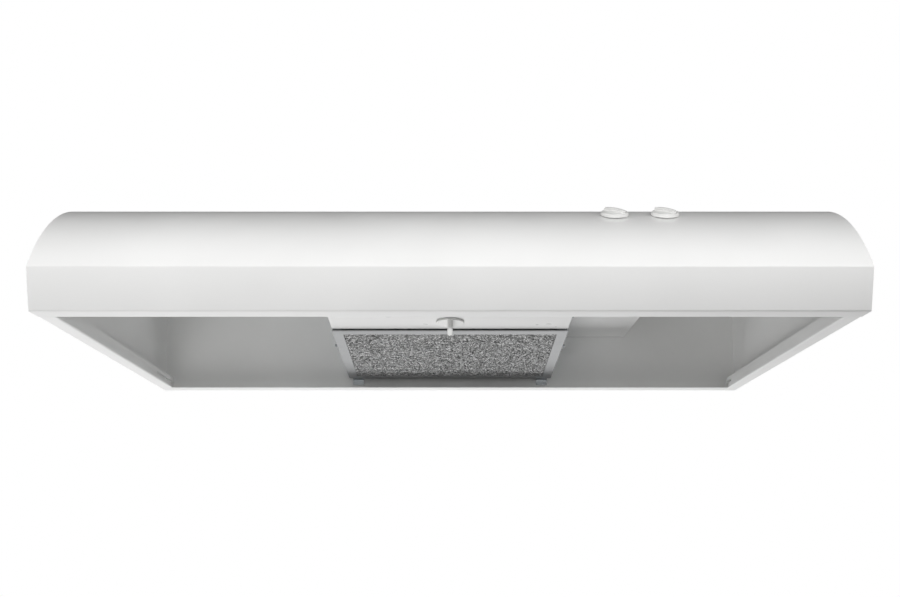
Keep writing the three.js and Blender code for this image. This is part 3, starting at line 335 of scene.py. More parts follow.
def flowing(corners: Sequence[Sequence[float]], steps: int = 14) -> Points:
    """A smooth route through chosen points: the centripetal spline, by its three-level blend of chords."""
    knots = np.array(corners, float)
    padded = np.concatenate([2 * knots[:1] - knots[1:2], knots, 2 * knots[-1:] - knots[-2:-1]])
    gaps = np.linalg.norm(np.diff(padded, axis=0), axis=1) ** 0.5
    share = np.linspace(0, 1, steps, endpoint=False)[:, None]
    pieces = []
    for n in range(len(knots) - 1):
        p0, p1, p2, p3 = padded[n:n + 4]
        d0, d1, d2 = gaps[n:n + 3]
        t0, t1, t2, t3 = 0.0, d0, d0 + d1, d0 + d1 + d2
        t = t1 + share * d1
        a1 = (t1 - t) / (t1 - t0) * p0 + (t - t0) / (t1 - t0) * p1
        a2 = (t2 - t) / (t2 - t1) * p1 + (t - t1) / (t2 - t1) * p2
        a3 = (t3 - t) / (t3 - t2) * p2 + (t - t2) / (t3 - t2) * p3
        b1 = (t2 - t) / (t2 - t0) * a1 + (t - t0) / (t2 - t0) * a2
        b2 = (t3 - t) / (t3 - t1) * a2 + (t - t1) / (t3 - t1) * a3
        pieces.append((t2 - t) / (t2 - t1) * b1 + (t - t1) / (t2 - t1) * b2)
    return np.concatenate([*pieces, knots[-1:]])


# ---------------------------------------------------------------- sheet metal


@dataclass(frozen=True)
class Hole:
    """A hole in a sheet, in the sheet's own two measures.

    Attributes:
        u: its centre along the first measure.
        v: its centre along the second.
        box: how far it reaches each way, as low u, high u, low v and high v.
        reach: the distance from the centre to its edge in a direction, or None for a square-cornered hole.
        cells: faces along each of its sides.
    """

    u: float
    v: float
    box: tuple[float, float, float, float]
    reach: Callable[[Points], Points] | None = None
    cells: int = 8


def round_hole(u: float, v: float, radius: float, cells: int = 8) -> Hole:
    """A round hole."""
    return Hole(u, v, (-radius, radius, -radius, radius), lambda angle: np.full_like(angle, radius), cells)


def square_hole(u0: float, u1: float, v0: float, v1: float) -> Hole:
    """A hole with square corners."""
    return Hole(0, 0, (u0, u1, v0, v1), None, 1)


def grid_lines(low: float, high: float, step: float, spans: Sequence[tuple[float, float, int]],
               fixed: Points | None = None) -> Points:
    """Grid lines from low to high, with even lines across each span and none of the others within it."""
    count = max(1, round((high - low) / step))
    lines = np.linspace(low, high, count + 1) if fixed is None else fixed
    for start, end, cells in spans:
        margin = 0.35 * (end - start) / cells
        outside = (lines < start - margin) | (lines > end + margin) | (lines == low) | (lines == high)
        lines = np.concatenate([lines[outside], np.linspace(start, end, cells + 1)])
    return np.unique(np.round(lines, 6))


@dataclass
class Sheet:
    """Sheet metal of even thickness: a grid over two measures, with holes, bent by a function.

    Attributes:
        u: grid lines of the first measure.
        v: grid lines of the second.
        holes: what is cut out.
        keep: which cells stay, from their centres, or None for all.
    """

    u: Points
    v: Points
    holes: Sequence[Hole] = ()
    keep: Callable[[Points, Points], Points] | None = None

    def bent(self, place: Callable[[Points, Points, float], Points], thickness: float) -> Shell:
        """The sheet's two faces and the walls along every open edge.

        A corner on a hole's square border moves to the hole's edge in its own direction.

        Args:
            place: gives the points at u, v and a depth below the outer face.
            thickness: the sheet's thickness.

        Returns:
            A closed shell.
        """
        u, v = (a.copy() for a in np.meshgrid(self.u, self.v, indexing="ij"))
        middle_u = (u[1:, 1:] + u[:-1, :-1]) / 2
        middle_v = (v[1:, 1:] + v[:-1, :-1]) / 2
        kept = np.ones(middle_u.shape, bool) if self.keep is None else self.keep(middle_u, middle_v)
        for hole in self.holes:
            u0, u1 = hole.u + hole.box[0], hole.u + hole.box[1]
            v0, v1 = hole.v + hole.box[2], hole.v + hole.box[3]
            kept &= ~((middle_u > u0) & (middle_u < u1) & (middle_v > v0) & (middle_v < v1))
            if hole.reach is None:
                continue
            near = 1e-4
            inside = (u > u0 - near) & (u < u1 + near) & (v > v0 - near) & (v < v1 + near)
            rim = inside & (np.minimum(np.minimum(abs(u - u0), abs(u - u1)),
                                       np.minimum(abs(v - v0), abs(v - v1))) < near)
            angle = np.arctan2(v[rim] - hole.v, u[rim] - hole.u)
            distance = hole.reach(angle)
            u[rim], v[rim] = hole.u + distance * np.cos(angle), hole.v + distance * np.sin(angle)
        faces = grid_faces(len(self.u), len(self.v))[kept.reshape(-1)]
        edges = np.stack([faces, np.roll(faces, -1, axis=1)], axis=-1).reshape(-1, 2)
        _, first, count = np.unique(np.sort(edges, axis=1), axis=0, return_index=True, return_counts=True)
        border = edges[first[count == 1]]
        total = u.size
        walls = np.column_stack([border[:, 1], border[:, 0], border[:, 0] + total, border[:, 1] + total])
        outer, inner = (place(u.reshape(-1), v.reshape(-1), depth) for depth in (0.0, thickness))
        return Shell(np.concatenate([outer, inner]), [faces, faces[:, ::-1] + total, walls]).outward()


@dataclass
class Fold:
    """A folded path whose sheet lies to its right, measured along its outer face.

    Attributes:
        path: the outer face's points.
        thickness: the sheet's thickness.
    """

    path: Points
    thickness: float

    def __post_init__(self) -> None:
        """Works out the inner face and the distance along the outer one."""
        steps = np.linalg.norm(np.diff(self.path, axis=0), axis=1)
        self.marks = np.concatenate([[0], np.cumsum(steps)])
        self.inner = beside(self.path, self.thickness)

    def at(self, measure: Points, depth: float) -> tuple[Points, Points]:
        """The two coordinates at a distance along the path and a depth below the outer face."""
        share = depth / self.thickness
        line = self.path * (1 - share) + self.inner * share
        return np.interp(measure, self.marks, line[:, 0]), np.interp(measure, self.marks, line[:, 1])

    def mark(self, column: int, value: float, after: float = 0) -> float:
        """Where the path first passes a value of one coordinate, beyond a distance along it."""
        line = self.path[:, column] - value
        passing = np.nonzero((line[:-1] * line[1:] <= 0) & (self.marks[1:] > after))[0][0]
        share = abs(line[passing]) / max(abs(line[passing]) + abs(line[passing + 1]), 1e-9)
        return float(self.marks[passing] + share * (self.marks[passing + 1] - self.marks[passing]))

    def across(self, x0: float, x1: float, step: float = 30, holes: Sequence[Hole] = (),
               keep: Callable[[Points, Points], Points] | None = None) -> Shell:
        """The fold carried from x0 to x1, the path's two coordinates being y and z."""
        u = grid_lines(x0, x1, step, [(h.u + h.box[0], h.u + h.box[1], h.cells) for h in holes])
        v = grid_lines(0, self.marks[-1], step, [(h.v + h.box[2], h.v + h.box[3], h.cells) for h in holes],
                       self.marks)

        def place(x: Points, along: Points, depth: float) -> Points:
            """The bend: x is kept, and the path gives y and z."""
            return np.stack([x, *self.at(along, depth)], axis=1)

        return Sheet(u, v, holes, keep).bent(place, self.thickness)


# ---------------------------------------------------------------- meshes


def piece(name: str, shell: Shell, smooth_to: float = 32, weld: bool = True) -> bpy.types.Object:
    """A Blender mesh from a shell, with its doubles merged and its sharp edges marked.

    Args:
        name: the piece's name.
        shell: the surfaces, in bench millimetres.
        smooth_to: the sharpest bend in degrees that still shades smoothly.
        weld: whether doubles are merged.

    Returns:
        The object, at the origin, with its place in its mesh.
    """
    mesh = bpy.data.meshes.new(name)
    faces = [row for block in shell.faces for row in block.tolist()]
    mesh.from_pydata(to_row(shell.points).tolist(), [], faces)
    if weld:
        work = bmesh.new()
        work.from_mesh(mesh)
        bmesh.ops.remove_doubles(work, verts=work.verts, dist=2e-6)
        loose = [v for v in work.verts if not v.link_faces]
        bmesh.ops.delete(work, geom=loose, context="VERTS")
        work.to_mesh(mesh)
        work.free()
    obj = bpy.data.objects.new(name, mesh)
    bpy.context.scene.collection.objects.link(obj)
    shade(obj, smooth_to)
    return obj


def shade(obj: bpy.types.Object, smooth_to: float) -> None:
    """Shades a mesh smooth, with every edge sharper than an angle in degrees left sharp."""
    obj.data.polygons.foreach_set("use_smooth", np.ones(len(obj.data.polygons), bool))
    obj.data.set_sharp_from_angle(angle=math.radians(smooth_to))


class Cut(Enum):
    """How one solid changes another."""

    JOIN = "UNION"
    TAKE = "DIFFERENCE"


def combined(name: str, base: Shell, changes: Sequence[tuple[Cut, Shell]],
             smooth_to: float = 32) -> bpy.types.Object:
    """One solid from a base and the solids that join it or are taken from it.

    Args:
        name: the piece's name.
        base: the first solid.
        changes: how each further solid is used, in order.
        smooth_to: as for a piece.

    Returns:
        The finished object.
    """
    obj = piece(name, base, smooth_to)
    tools = []
    for kind, shell in changes:
        tool = piece(f"{name}_tool", shell)
        modifier = obj.modifiers.new(kind.name.lower(), "BOOLEAN")
        modifier.operation = kind.value
        modifier.solver = "EXACT"
        modifier.object = tool
        tools.append(tool)
    bpy.context.view_layer.update()
    graph = bpy.context.evaluated_depsgraph_get()
    made = bpy.data.meshes.new_from_object(obj.evaluated_get(graph))
    obj.modifiers.clear()
    old, obj.data = obj.data, made
    bpy.data.meshes.remove(old)
    made.name = name
    for tool in tools:
        mesh = tool.data
        bpy.data.objects.remove(tool)
        bpy.data.meshes.remove(mesh)
    shade(obj, smooth_to)
    return obj


# ---------------------------------------------------------------- finishes


def linear(colour: str) -> tuple[float, float, float, float]:
    """An sRGB hex colour as linear light: each channel through the sRGB curve's inverse."""
    channels = np.array([int(colour[n:n + 2], 16) / 255 for n in (1, 3, 5)])
    light = np.where(channels <= 0.04045, channels / 12.92, ((channels + 0.055) / 1.055) ** 2.4)
    return (*light.tolist(), 1.0)


def per_metre(millimetres: float) -> float:
    """A texture's scale for features of a real size."""
    return 1 / (millimetres * MM)


def add_node(tree: bpy.types.NodeTree, kind: str, inputs: dict | None = None,
             **settings: object) -> bpy.types.Node:
    """Adds a shader node.

    Args:
        tree: the node tree.
        kind: the node's type.
        inputs: a value, or another node's output to link, for each input's name or number.
        settings: the node's own properties.

    Returns:
        The node.
    """
    node = tree.nodes.new(kind)
    for name, value in settings.items():
        setattr(node, name, value)
    for name, value in (inputs or {}).items():
        if isinstance(value, bpy.types.NodeSocket):
            tree.links.new(value, node.inputs[name])
        else:
            node.inputs[name].default_value = value
    return node


class Surface(Enum):
    """How a finish was made, which decides its pattern."""

    STOVED = "stoved enamel"
    MOULDED = "moulded plastic"
    ROLLED = "rolled sheet"
    SPANGLED = "hot dip zinc"
    PLATED = "bright zinc plate"
    EXPANDED = "expanded foil"
    SMOOTH = "drawn or glazed"


@dataclass(frozen=True)
class Finish:
    """One real finish.

    Attributes:
        name: what it is called.
        surface: how it was made.
        colour: its main colour.
        second: the colour it drifts or streaks towards.
        roughness: its base roughness.
        metallic: 1 for bare metal.
        ior: its refractive index, for what isn't metal.
        feature: the pattern's size in millimetres.
        relief: how deep the pattern stands, in millimetres.
        coat: a clear gloss layer over it.
        light_through: how much light passes, for thin translucent plastic and glass.
    """

    name: str
    surface: Surface
    colour: str
    second: str
    roughness: float
    metallic: float = 0.0
    ior: float = 1.5
    feature: float = 1.5
    relief: float = 0.01
    coat: float = 0.0
    light_through: float = 0.0

    def made(self) -> bpy.types.Material:
        """The finish as a material."""
        material = bpy.data.materials.new(self.name)
        material.use_nodes = True
        tree = material.node_tree
        tree.nodes.clear()
        place = add_node(tree, "ShaderNodeTexCoord").outputs["Object"]
        pattern = {
            Surface.STOVED: self._drift, Surface.MOULDED: self._drift, Surface.SMOOTH: self._drift,
            Surface.ROLLED: self._streaks, Surface.SPANGLED: self._crystals,
            Surface.PLATED: self._streaks, Surface.EXPANDED: self._strands,
        }[self.surface]
        shade_of, height = pattern(tree, place)
        wear = add_node(tree, "ShaderNodeTexNoise", {"Vector": place, "Scale": per_metre(45), "Detail": 3.0})
        rough = add_node(tree, "ShaderNodeMapRange", {
            "Value": wear.outputs["Fac"], "From Min": 0.3, "From Max": 0.7,
            "To Min": self.roughness * 0.9, "To Max": self.roughness * 1.1,
        })
        bump = add_node(tree, "ShaderNodeBump", {
            "Height": height, "Strength": 0.6, "Distance": self.relief * MM,
        })
        body = add_node(tree, "ShaderNodeBsdfPrincipled", {
            "Base Color": shade_of, "Roughness": rough.outputs["Result"], "Normal": bump.outputs["Normal"],
            "Metallic": self.metallic, "IOR": self.ior, "Coat Weight": self.coat, "Coat Roughness": 0.12,
            "Transmission Weight": self.light_through,
        })
        add_node(tree, "ShaderNodeOutputMaterial", {"Surface": body.outputs["BSDF"]})
        return material

    def _blend(self, tree: bpy.types.NodeTree, factor: bpy.types.NodeSocket,
               spread: float = 0.5) -> bpy.types.NodeSocket:
        """The main colour mixed towards the second as a factor crosses a half, give or take a spread."""
        if spread < 0.5:
            factor = add_node(tree, "ShaderNodeMapRange", {
                "Value": factor, "From Min": 0.5 - spread, "From Max": 0.5 + spread,
            }).outputs["Result"]
        mix = add_node(tree, "ShaderNodeMix", {
            0: factor, 6: linear(self.colour), 7: linear(self.second),
        }, data_type="RGBA")
        return mix.outputs[2]

    def _drift(self, tree: bpy.types.NodeTree, place: bpy.types.NodeSocket) -> tuple:
        """A slow drift of colour, and a fine ripple in the gloss."""
        slow = add_node(tree, "ShaderNodeTexNoise", {"Vector": place, "Scale": per_metre(120), "Detail": 2.0})
        ripple = add_node(tree, "ShaderNodeTexNoise", {
            "Vector": place, "Scale": per_metre(self.feature), "Detail": 2.0, "Roughness": 0.4,
        })
        return self._blend(tree, slow.outputs["Fac"], 0.15), ripple.outputs["Fac"]

    def _streaks(self, tree: bpy.types.NodeTree, place: bpy.types.NodeSocket) -> tuple:
        """Fine lines along x from the rolls, a feature wide and forty long."""
        drawn = add_node(tree, "ShaderNodeMapping", {"Vector": place, "Scale": (1 / 40, 1.0, 1.0)})
        lines = add_node(tree, "ShaderNodeTexNoise", {
            "Vector": drawn.outputs["Vector"], "Scale": per_metre(self.feature),
            "Detail": 4.0, "Roughness": 0.6,
        })
        return self._blend(tree, lines.outputs["Fac"], 0.2), lines.outputs["Fac"]

    def _crystals(self, tree: bpy.types.NodeTree, place: bpy.types.NodeSocket) -> tuple:
        """The zinc's crystals, each a flat of its own brightness."""
        cells = add_node(tree, "ShaderNodeTexVoronoi", {"Vector": place, "Scale": per_metre(self.feature)})
        tone = add_node(tree, "ShaderNodeSeparateColor", {"Color": cells.outputs["Color"]})
        return self._blend(tree, tone.outputs["Red"]), tone.outputs["Green"]

    def _strands(self, tree: bpy.types.NodeTree, place: bpy.types.NodeSocket) -> tuple:
        """Foil strands a feature apart, lit or dark one by one as painted glints and painted shade."""
        cells = add_node(tree, "ShaderNodeTexNoise", {
            "Vector": place, "Scale": per_metre(self.feature), "Detail": 3.0, "Roughness": 0.75,
        })
        return self._blend(tree, cells.outputs["Fac"], 0.08), cells.outputs["Fac"]


# Stoved white enamel on folded steel: even, glossy, with a faint orange peel of a few millimetres.
ENAMEL = Finish("stoved_white_enamel", Surface.STOVED, "#F4F4F3", "#F0F0EF", 0.34, ior=1.5, feature=3.0,
                relief=0.006, coat=0.15)
# Hot dip galvanised steel: grey zinc crystals about 9 mm across.
GALVANISED = Finish("galvanised_steel", Surface.SPANGLED, "#A9ADB0", "#C3C7C9", 0.46, metallic=1.0,
                    feature=9.0, relief=0.01)
# Mill finish aluminium: pale, with roll lines half a millimetre apart.
MILL_ALUMINIUM = Finish("mill_aluminium", Surface.ROLLED, "#A3A4A5", "#969798", 0.45, metallic=1.0,
                        feature=0.5, relief=0.01)
# Expanded aluminium foil: grey and white strands a millimetre or so apart; the white strands are painted
# glints, light the foil catches.
FOIL = Finish("expanded_aluminium", Surface.EXPANDED, "#8C8C8C", "#FFFFFF", 0.42, metallic=0.4, feature=1.3,
              relief=0.1)
# The deeper layers of the filter, where little light reaches: aluminium painted near black, as painted shade.
SHADED_DEEP_FOIL = Finish("expanded_aluminium_deep_painted_shade", Surface.EXPANDED, "#121212", "#767676", 0.55, metallic=0.3,
                   feature=1.8, relief=0.1)
# White acrylic light lens: smooth and milky.
LENS_ACRYLIC = Finish("opal_acrylic", Surface.MOULDED, "#F6F6F5", "#F2F2F1", 0.3, ior=1.49, feature=2.0,
                      relief=0.004)
# White ABS knobs: satin from the mould.
WHITE_ABS = Finish("white_abs", Surface.MOULDED, "#F5F5F3", "#F0F0EE", 0.33, ior=1.53, feature=1.2,
                   relief=0.006)
# Black glass-filled nylon: dull, with a fine mould texture.
BLACK_NYLON = Finish("black_nylon", Surface.MOULDED, "#1B1C1D", "#242526", 0.55, ior=1.53, feature=0.8,
                     relief=0.02)
# Black paint over the motor's shell.
MOTOR_PAINT = Finish("motor_shell_paint", Surface.STOVED, "#3C3E40", "#484A4C", 0.45, ior=1.5, feature=1.6,
                     relief=0.02)
# Bright spring steel, drawn and ground.
SPRING_STEEL = Finish("spring_steel", Surface.PLATED, "#A7ABAE", "#8E9296", 0.28, metallic=1.0, feature=0.4,
                      relief=0.005)
# Bright zinc plate on screws and clips, faintly blue.
ZINC_PLATE = Finish("bright_zinc_plate", Surface.PLATED, "#A9ADB0", "#8F9396", 0.3, metallic=1.0, feature=0.6,
                    relief=0.005)
# Drawn aluminium can.
CAN_ALUMINIUM = Finish("drawn_aluminium_can", Surface.ROLLED, "#C4C6C8", "#AEB1B3", 0.35, metallic=1.0,
                       feature=0.8, relief=0.01)
# Inside-frosted lamp glass: milky white, smooth outside.
FROSTED_GLASS = Finish("frosted_lamp_glass", Surface.SMOOTH, "#F7F6F0", "#F3F2EB", 0.22, ior=1.52,
                       feature=4.0, relief=0.002, light_through=0.15)
# Rolled brass lamp base.
BRASS = Finish("rolled_brass", Surface.PLATED, "#C8AE6E", "#AF9659", 0.3, metallic=1.0, feature=0.7,
               relief=0.01)
# Glazed porcelain: cream, with a clear glaze.
PORCELAIN = Finish("glazed_porcelain", Surface.SMOOTH, "#ECE9DF", "#E5E2D7", 0.25, ior=1.54, feature=5.0,
                   relief=0.01, coat=0.5)
# Black PVC sheath on the leads.
PVC_SHEATH = Finish("pvc_sheath", Surface.MOULDED, "#1E1F20", "#292A2B", 0.48, ior=1.53, feature=1.0,
                    relief=0.01)

FINISH_OF_SLOT = {
    "white_enamel": ENAMEL, "galvanised_steel": GALVANISED, "aluminium_sheet": MILL_ALUMINIUM,
    # the filter mesh's finish paints glints on its strands
    "filter_mesh": FOIL, "lens_plastic": LENS_ACRYLIC, "white_plastic": WHITE_ABS,
    "black_plastic": BLACK_NYLON, "motor_lamination": MOTOR_PAINT,
    "capacitor_can": CAN_ALUMINIUM, "bright_steel": SPRING_STEEL,
    "zinc_plate": ZINC_PLATE, "frosted_glass": FROSTED_GLASS, "lamp_brass": BRASS, "porcelain": PORCELAIN,
    "lead_sheath": PVC_SHEATH,
}
SLOT_OF_NODE = {row["node"]: row["material_slot"] for row in frame["record"]["subparts"]}
BODY_OF_NODE = {
    node: body for body, nodes in frame["record"]["behaviour"]["bodies"].items() for node in nodes
}


class Paintshop:
    """Makes each finish once and puts it on pieces."""

    def __init__(self) -> None:
        """Starts with no finish made."""
        self._made: dict[str, bpy.types.Material] = {}

    def dress(self, obj: bpy.types.Object, finish: Finish) -> None:
        """Gives an object one finish."""
        if finish.name not in self._made:
            self._made[finish.name] = finish.made()
        obj.data.materials.clear()
        obj.data.materials.append(self._made[finish.name])

    def put(self, node: str, name: str, shell: Shell, changes: Sequence[tuple[Cut, Shell]] = (),
            smooth_to: float = 32, weld: bool = True, finish: Finish | None = None) -> None:
        """Makes a piece in a node's place and gives it that node's body and its slot's finish.

        Args:
            node: the node it stands for.
            name: the piece's name.
            shell: its surfaces, on the bench.
            changes: the solids that join it or are taken from it.
            smooth_to: the sharpest bend in degrees that still shades smoothly.
            weld: whether its doubles are merged.
            finish: its finish, or None for its slot's.
        """
        obj = combined(name, shell, changes, smooth_to) if changes else piece(name, shell, smooth_to, weld)
        self.dress(obj, finish or FINISH_OF_SLOT[SLOT_OF_NODE[node]])
        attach(obj, BODY_OF_NODE[node])
        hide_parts(node)
        log.info("%s stands for %s: %d faces", obj.name, node, len(obj.data.polygons))

    def finish_rest(self) -> None:
        """Gives every node that stays its own finish."""
        for node, obj in frame["nodes"].items():
            if not obj.hide_render:
                self.dress(obj, FINISH_OF_SLOT[SLOT_OF_NODE[node]])
                log.info("%s keeps its own shape", node)


# ---------------------------------------------------------------- casing

SHEET_STEEL = 1.0


@dataclass
class Profile:
    """The canopy's section: flange, leaning band, two-arc crown and flat top.

    Attributes:
        band_height: from the rim to the crease.
        band_lean: how far the band's foot is set back.
        start_deg: the crown's slope at the crease.
        break_deg: its slope where the tight arc meets the slow one.
        front_share: the tight arc's share of the crown's rise.
        flange: the front flange's depth.
        bend: the outer radius of a press bend.
    """

    band_height: float = 38.5
    band_lean: float = 12
    start_deg: float = 56.8
    break_deg: float = 16.5
    front_share: float = 0.855
    flange: float = 24
    bend: float = 1.8

    def front_radius(self) -> float:
        """The tight arc's radius: its rise over the difference of its end slopes' cosines."""
        start, middle = math.radians(self.start_deg), math.radians(self.break_deg)
        return (HEIGHT - self.band_height) * self.front_share / (math.cos(middle) - math.cos(start))

    def crown(self) -> Points:
        """The crown from the crease to the flat top, on two arcs whose slopes agree where they meet.

        Each arc's points step back by the radius times the fall in the slope's sine and climb by the
        radius times the rise in its cosine.
        """
        start, middle = math.radians(self.start_deg), math.radians(self.break_deg)
        front = self.front_radius()
        rear = (HEIGHT - self.band_height) * (1 - self.front_share) / (1 - math.cos(middle))
        slope = np.linspace(start, middle, 90)
        tight = np.stack([front * (math.sin(start) - np.sin(slope)),
                          self.band_height + front * (np.cos(slope) - math.cos(start))], axis=1)
        slope = np.linspace(middle, 0, 40)[1:]
        slow = tight[-1] + rear * np.stack([math.sin(middle) - np.sin(slope),
                                            np.cos(slope) - math.cos(middle)], axis=1)
        return np.concatenate([tight, slow])

    def outer(self) -> Points:
        """The canopy's whole outer face, from the flange's free edge to the rear of the top."""
        crown = self.crown()
        rim = [[self.band_lean + self.flange, 0], [self.band_lean, 0]]
        corners = np.concatenate([rim, crown[:1], crown[2:], [[DEPTH, HEIGHT]]])
        radii = np.zeros(len(corners))
        radii[1], radii[2] = self.bend, self.bend
        return rounded(corners, radii, steps=6)

    def knob_spot(self, tangent_deg: float = 28.5) -> tuple[float, float]:
        """Where the controls' axes meet the crown, at a known slope."""
        start, slope = math.radians(self.start_deg), math.radians(tangent_deg)
        front = self.front_radius()
        return front * (math.sin(start) - math.sin(slope)), self.band_height + front * (
            math.cos(slope) - math.cos(start))


PROFILE = Profile()


def keyhole(x: float, y: float, head: float = 5.0, slot: float = 2.6, length: float = 14.0,
            shift: float = 0.0) -> Hole:
    """A keyhole: in each direction, the further of the head's edge and the slot's."""

    def reach(angle: Points) -> Points:
        """The distance to the keyhole's edge."""
        sine, cosine = np.sin(angle), np.abs(np.cos(angle))
        in_slot = np.minimum(slot / np.maximum(cosine, 1e-6), length / np.maximum(sine, 1e-6))
        return np.where(sine > 0, np.maximum(head, in_slot), head)

    return Hole(x, y + shift, (-head, head, -head, length), reach, 10)


@dataclass
class Casing:
    """The canopy, the side panels and the rear panel.

    Attributes:
        side_flange: the side panels' bottom flange.
        lip: the height of its upturned lip.
        lip_rear_gap: how far the lip stops before the wall.
        rear_flange: the rear panel's bottom flange.
        knockout_rise: from the rim to the rear duct window.
        duct: the duct's width and depth.
        duct_rear_gap: from the duct to the rear of the top.
    """

    shop: Paintshop
    side_flange: float = 15.5
    lip: float = 14
    lip_rear_gap: float = 14
    lip_slots: tuple[float, float] = (87, 27)
    lip_slot_rise: float = 6.5
    lip_slot_height: float = 3
    rear_flange: float = 25
    knockout_rise: float = 50
    duct: tuple[float, float] = (254, 82.5)
    duct_rear_gap: float = 12

    def build(self) -> None:
        """Makes and dresses every piece of the casing."""
        self.canopy()
        for side, name in ((-1, "left"), (1, "right")):
            self.side_panel(side, name)
        self.rear_panel()
        self.knockout()

    def canopy(self) -> None:
        """The canopy: its section carried across, with its holes cut in the sheet before it bends."""
        fold = Fold(PROFILE.outer(), SHEET_STEEL)
        top_start = fold.mark(0, 250, after=fold.marks[-1] / 3)
        shift = top_start - 250
        crown_end = PROFILE.crown()[-1][0]
        knob_y = PROFILE.knob_spot()[0]
        knob_mark = fold.mark(0, knob_y, after=PROFILE.flange + PROFILE.band_height + 8)
        bush = [(a + b) / 2 for a, b in zip(*bench_box("cable_bushing"))]
        width, depth = self.duct
        front = DEPTH - self.duct_rear_gap - depth
        holes = [keyhole(x, y, shift=shift) for x in (-300, 300) for y in (crown_end + 26, DEPTH - 40)]
        holes.append(round_hole(bush[0], bush[1] + shift, 11))
        holes.append(square_hole(-width / 2, width / 2, front + shift, front + depth + shift))
        for node in ("fan_knob", "light_knob"):
            low, high = bench_box(node)
            holes.append(round_hole((low[0] + high[0]) / 2, knob_mark, 5.4))
        shell = fold.across(-WIDTH / 2, WIDTH / 2, 40, holes)
        self.shop.put("canopy_shell", "canopy", shell)

    def _heights(self) -> tuple[Callable[[Points], Points], Callable[[Points], Points], float]:
        """The end plate's lower and upper edge as functions of y, and where its flange starts."""
        gap = 1.3
        inner = beside(PROFILE.outer(), gap)
        crease = int(np.argmin(inner[:, 0]))
        start = PROFILE.band_lean + PROFILE.flange + 0.3
        fold_top = PROFILE.bend + 0.4
        lower, upper = inner[:crease + 1][::-1], inner[crease:]

        def low(y: Points) -> Points:
            """The band's inner face, then the front flange's top, then the plate's own bend."""
            band = np.interp(y, lower[:, 0], lower[:, 1])
            before = np.maximum(np.where(y > PROFILE.band_lean + 2, gap, band), gap)
            return np.where(y < start - 0.01, before, fold_top)

        return low, lambda y: np.interp(y, upper[:, 0], upper[:, 1]), start

    def side_panel(self, side: int, name: str) -> None:
        """One side panel: end plate, bottom flange and upturned lip, bent from one sheet.

        The first measure is y. The second runs from -100 at the roof to 0 at the plate's foot, then in
        millimetres round the bend, along the flange, round the second bend and up the lip.
        """
        low, high, start = self._heights()
        outer_x, bend = WIDTH / 2, PROFILE.bend
        lip_x = outer_x - self.side_flange
        path = rounded([[outer_x, bend + 0.4], [outer_x, 0], [lip_x, 0], [lip_x, self.lip]], bend, 6)
        fold = Fold(path, SHEET_STEEL)
        length = fold.marks[-1]
        lip_rear = DEPTH - self.lip_rear_gap
        slot_length = self.lip_slots[0] if side < 0 else self.lip_slots[1]
        slot_low = length - self.lip + self.lip_slot_rise
        slot_v = (slot_low, slot_low + self.lip_slot_height)
        slot = square_hole(lip_rear - slot_length, lip_rear - 6, *slot_v)
        lip_start = length - self.lip + bend
        spans = [(slot.box[0], slot.box[1], 6)]
        first = beside(PROFILE.outer(), 1.3)[:, 0].min() + 0.15
        marks = np.concatenate([np.linspace(first, 14, 12), np.linspace(14, start, 8),
                                np.linspace(start, 220, 90), np.linspace(220, lip_rear - 6, 20),
                                np.linspace(lip_rear - 6, lip_rear, 9), [DEPTH]])
        u = grid_lines(first, DEPTH, 10, spans, np.unique(marks))
        v = np.unique(np.concatenate([np.linspace(-100, 0, 9), fold.marks, slot_v]))

        def keep(y: Points, measure: Points) -> Points:
            """The flange starts behind the front flange, and the lip stops before the wall."""
            return ((measure < 0) | (y > start)) & ((measure < lip_start) | (y < lip_rear))

        def place(y: Points, measure: Points, depth: float) -> Points:
            """The plate's measure stretches to the roof; the rest follows the bend."""
            x, z = fold.at(np.maximum(measure, 0), depth)
            share = np.clip(-measure / 100, 0, 1)
            foot = low(y)
            z = np.where(measure <= 0, foot + share * (high(y) - foot), z)
            corner = np.clip((measure - (length - 5)) / 5, 0, 1)
            on_lip = (measure > lip_start) * (y <= lip_rear + 0.01)
            near_end = np.clip((y - (lip_rear - 6)) / 6, 0, 1) * on_lip
            y = y - near_end * 5 * (1 - np.sqrt(np.clip(1 - corner ** 2, 0, 1)))
            return np.stack([side * x, y, z], axis=1)

        shell = Sheet(u, v, [slot], keep).bent(place, SHEET_STEEL)
        self.shop.put(f"side_panel_{name}", f"{name}_end_panel", shell)

    def rear_panel(self) -> None:
        """The rear panel, folded forward at its foot, with its rear duct window."""
        half, foot_half = WIDTH / 2 - 1.3, WIDTH / 2 - self.side_flange - 0.3
        top = HEIGHT - SHEET_STEEL - 0.3
        fold = Fold(rounded([[DEPTH, top], [DEPTH, 0], [DEPTH - self.rear_flange, 0]], 2.0, 8), SHEET_STEEL)
        fold_start = fold.mark(1, 3.0)
        width, depth = self.duct
        low = top - self.knockout_rise - depth
        window = square_hole(-width / 2, width / 2, low, low + depth)

        def keep(x: Points, along: Points) -> Points:
            """The foot is narrower than the plate."""
            return (along < fold_start) | (abs(x) < foot_half)

        sides = [(-half, -foot_half, 1), (-width / 2, width / 2, 1), (foot_half, half, 1)]
        u = grid_lines(-half, half, 30, sides)
        bands = [(low, low + depth, 1), (fold_start, fold_start + 0.5, 1)]
        v = grid_lines(0, fold.marks[-1], 15, bands, fold.marks)

        def place(x: Points, along: Points, distance: float) -> Points:
            """The bend: x is kept, and the path gives y and z."""
            return np.stack([x, *fold.at(along, distance)], axis=1)

        self.shop.put("rear_panel", "back_panel", Sheet(u, v, [window], keep).bent(place, SHEET_STEEL))

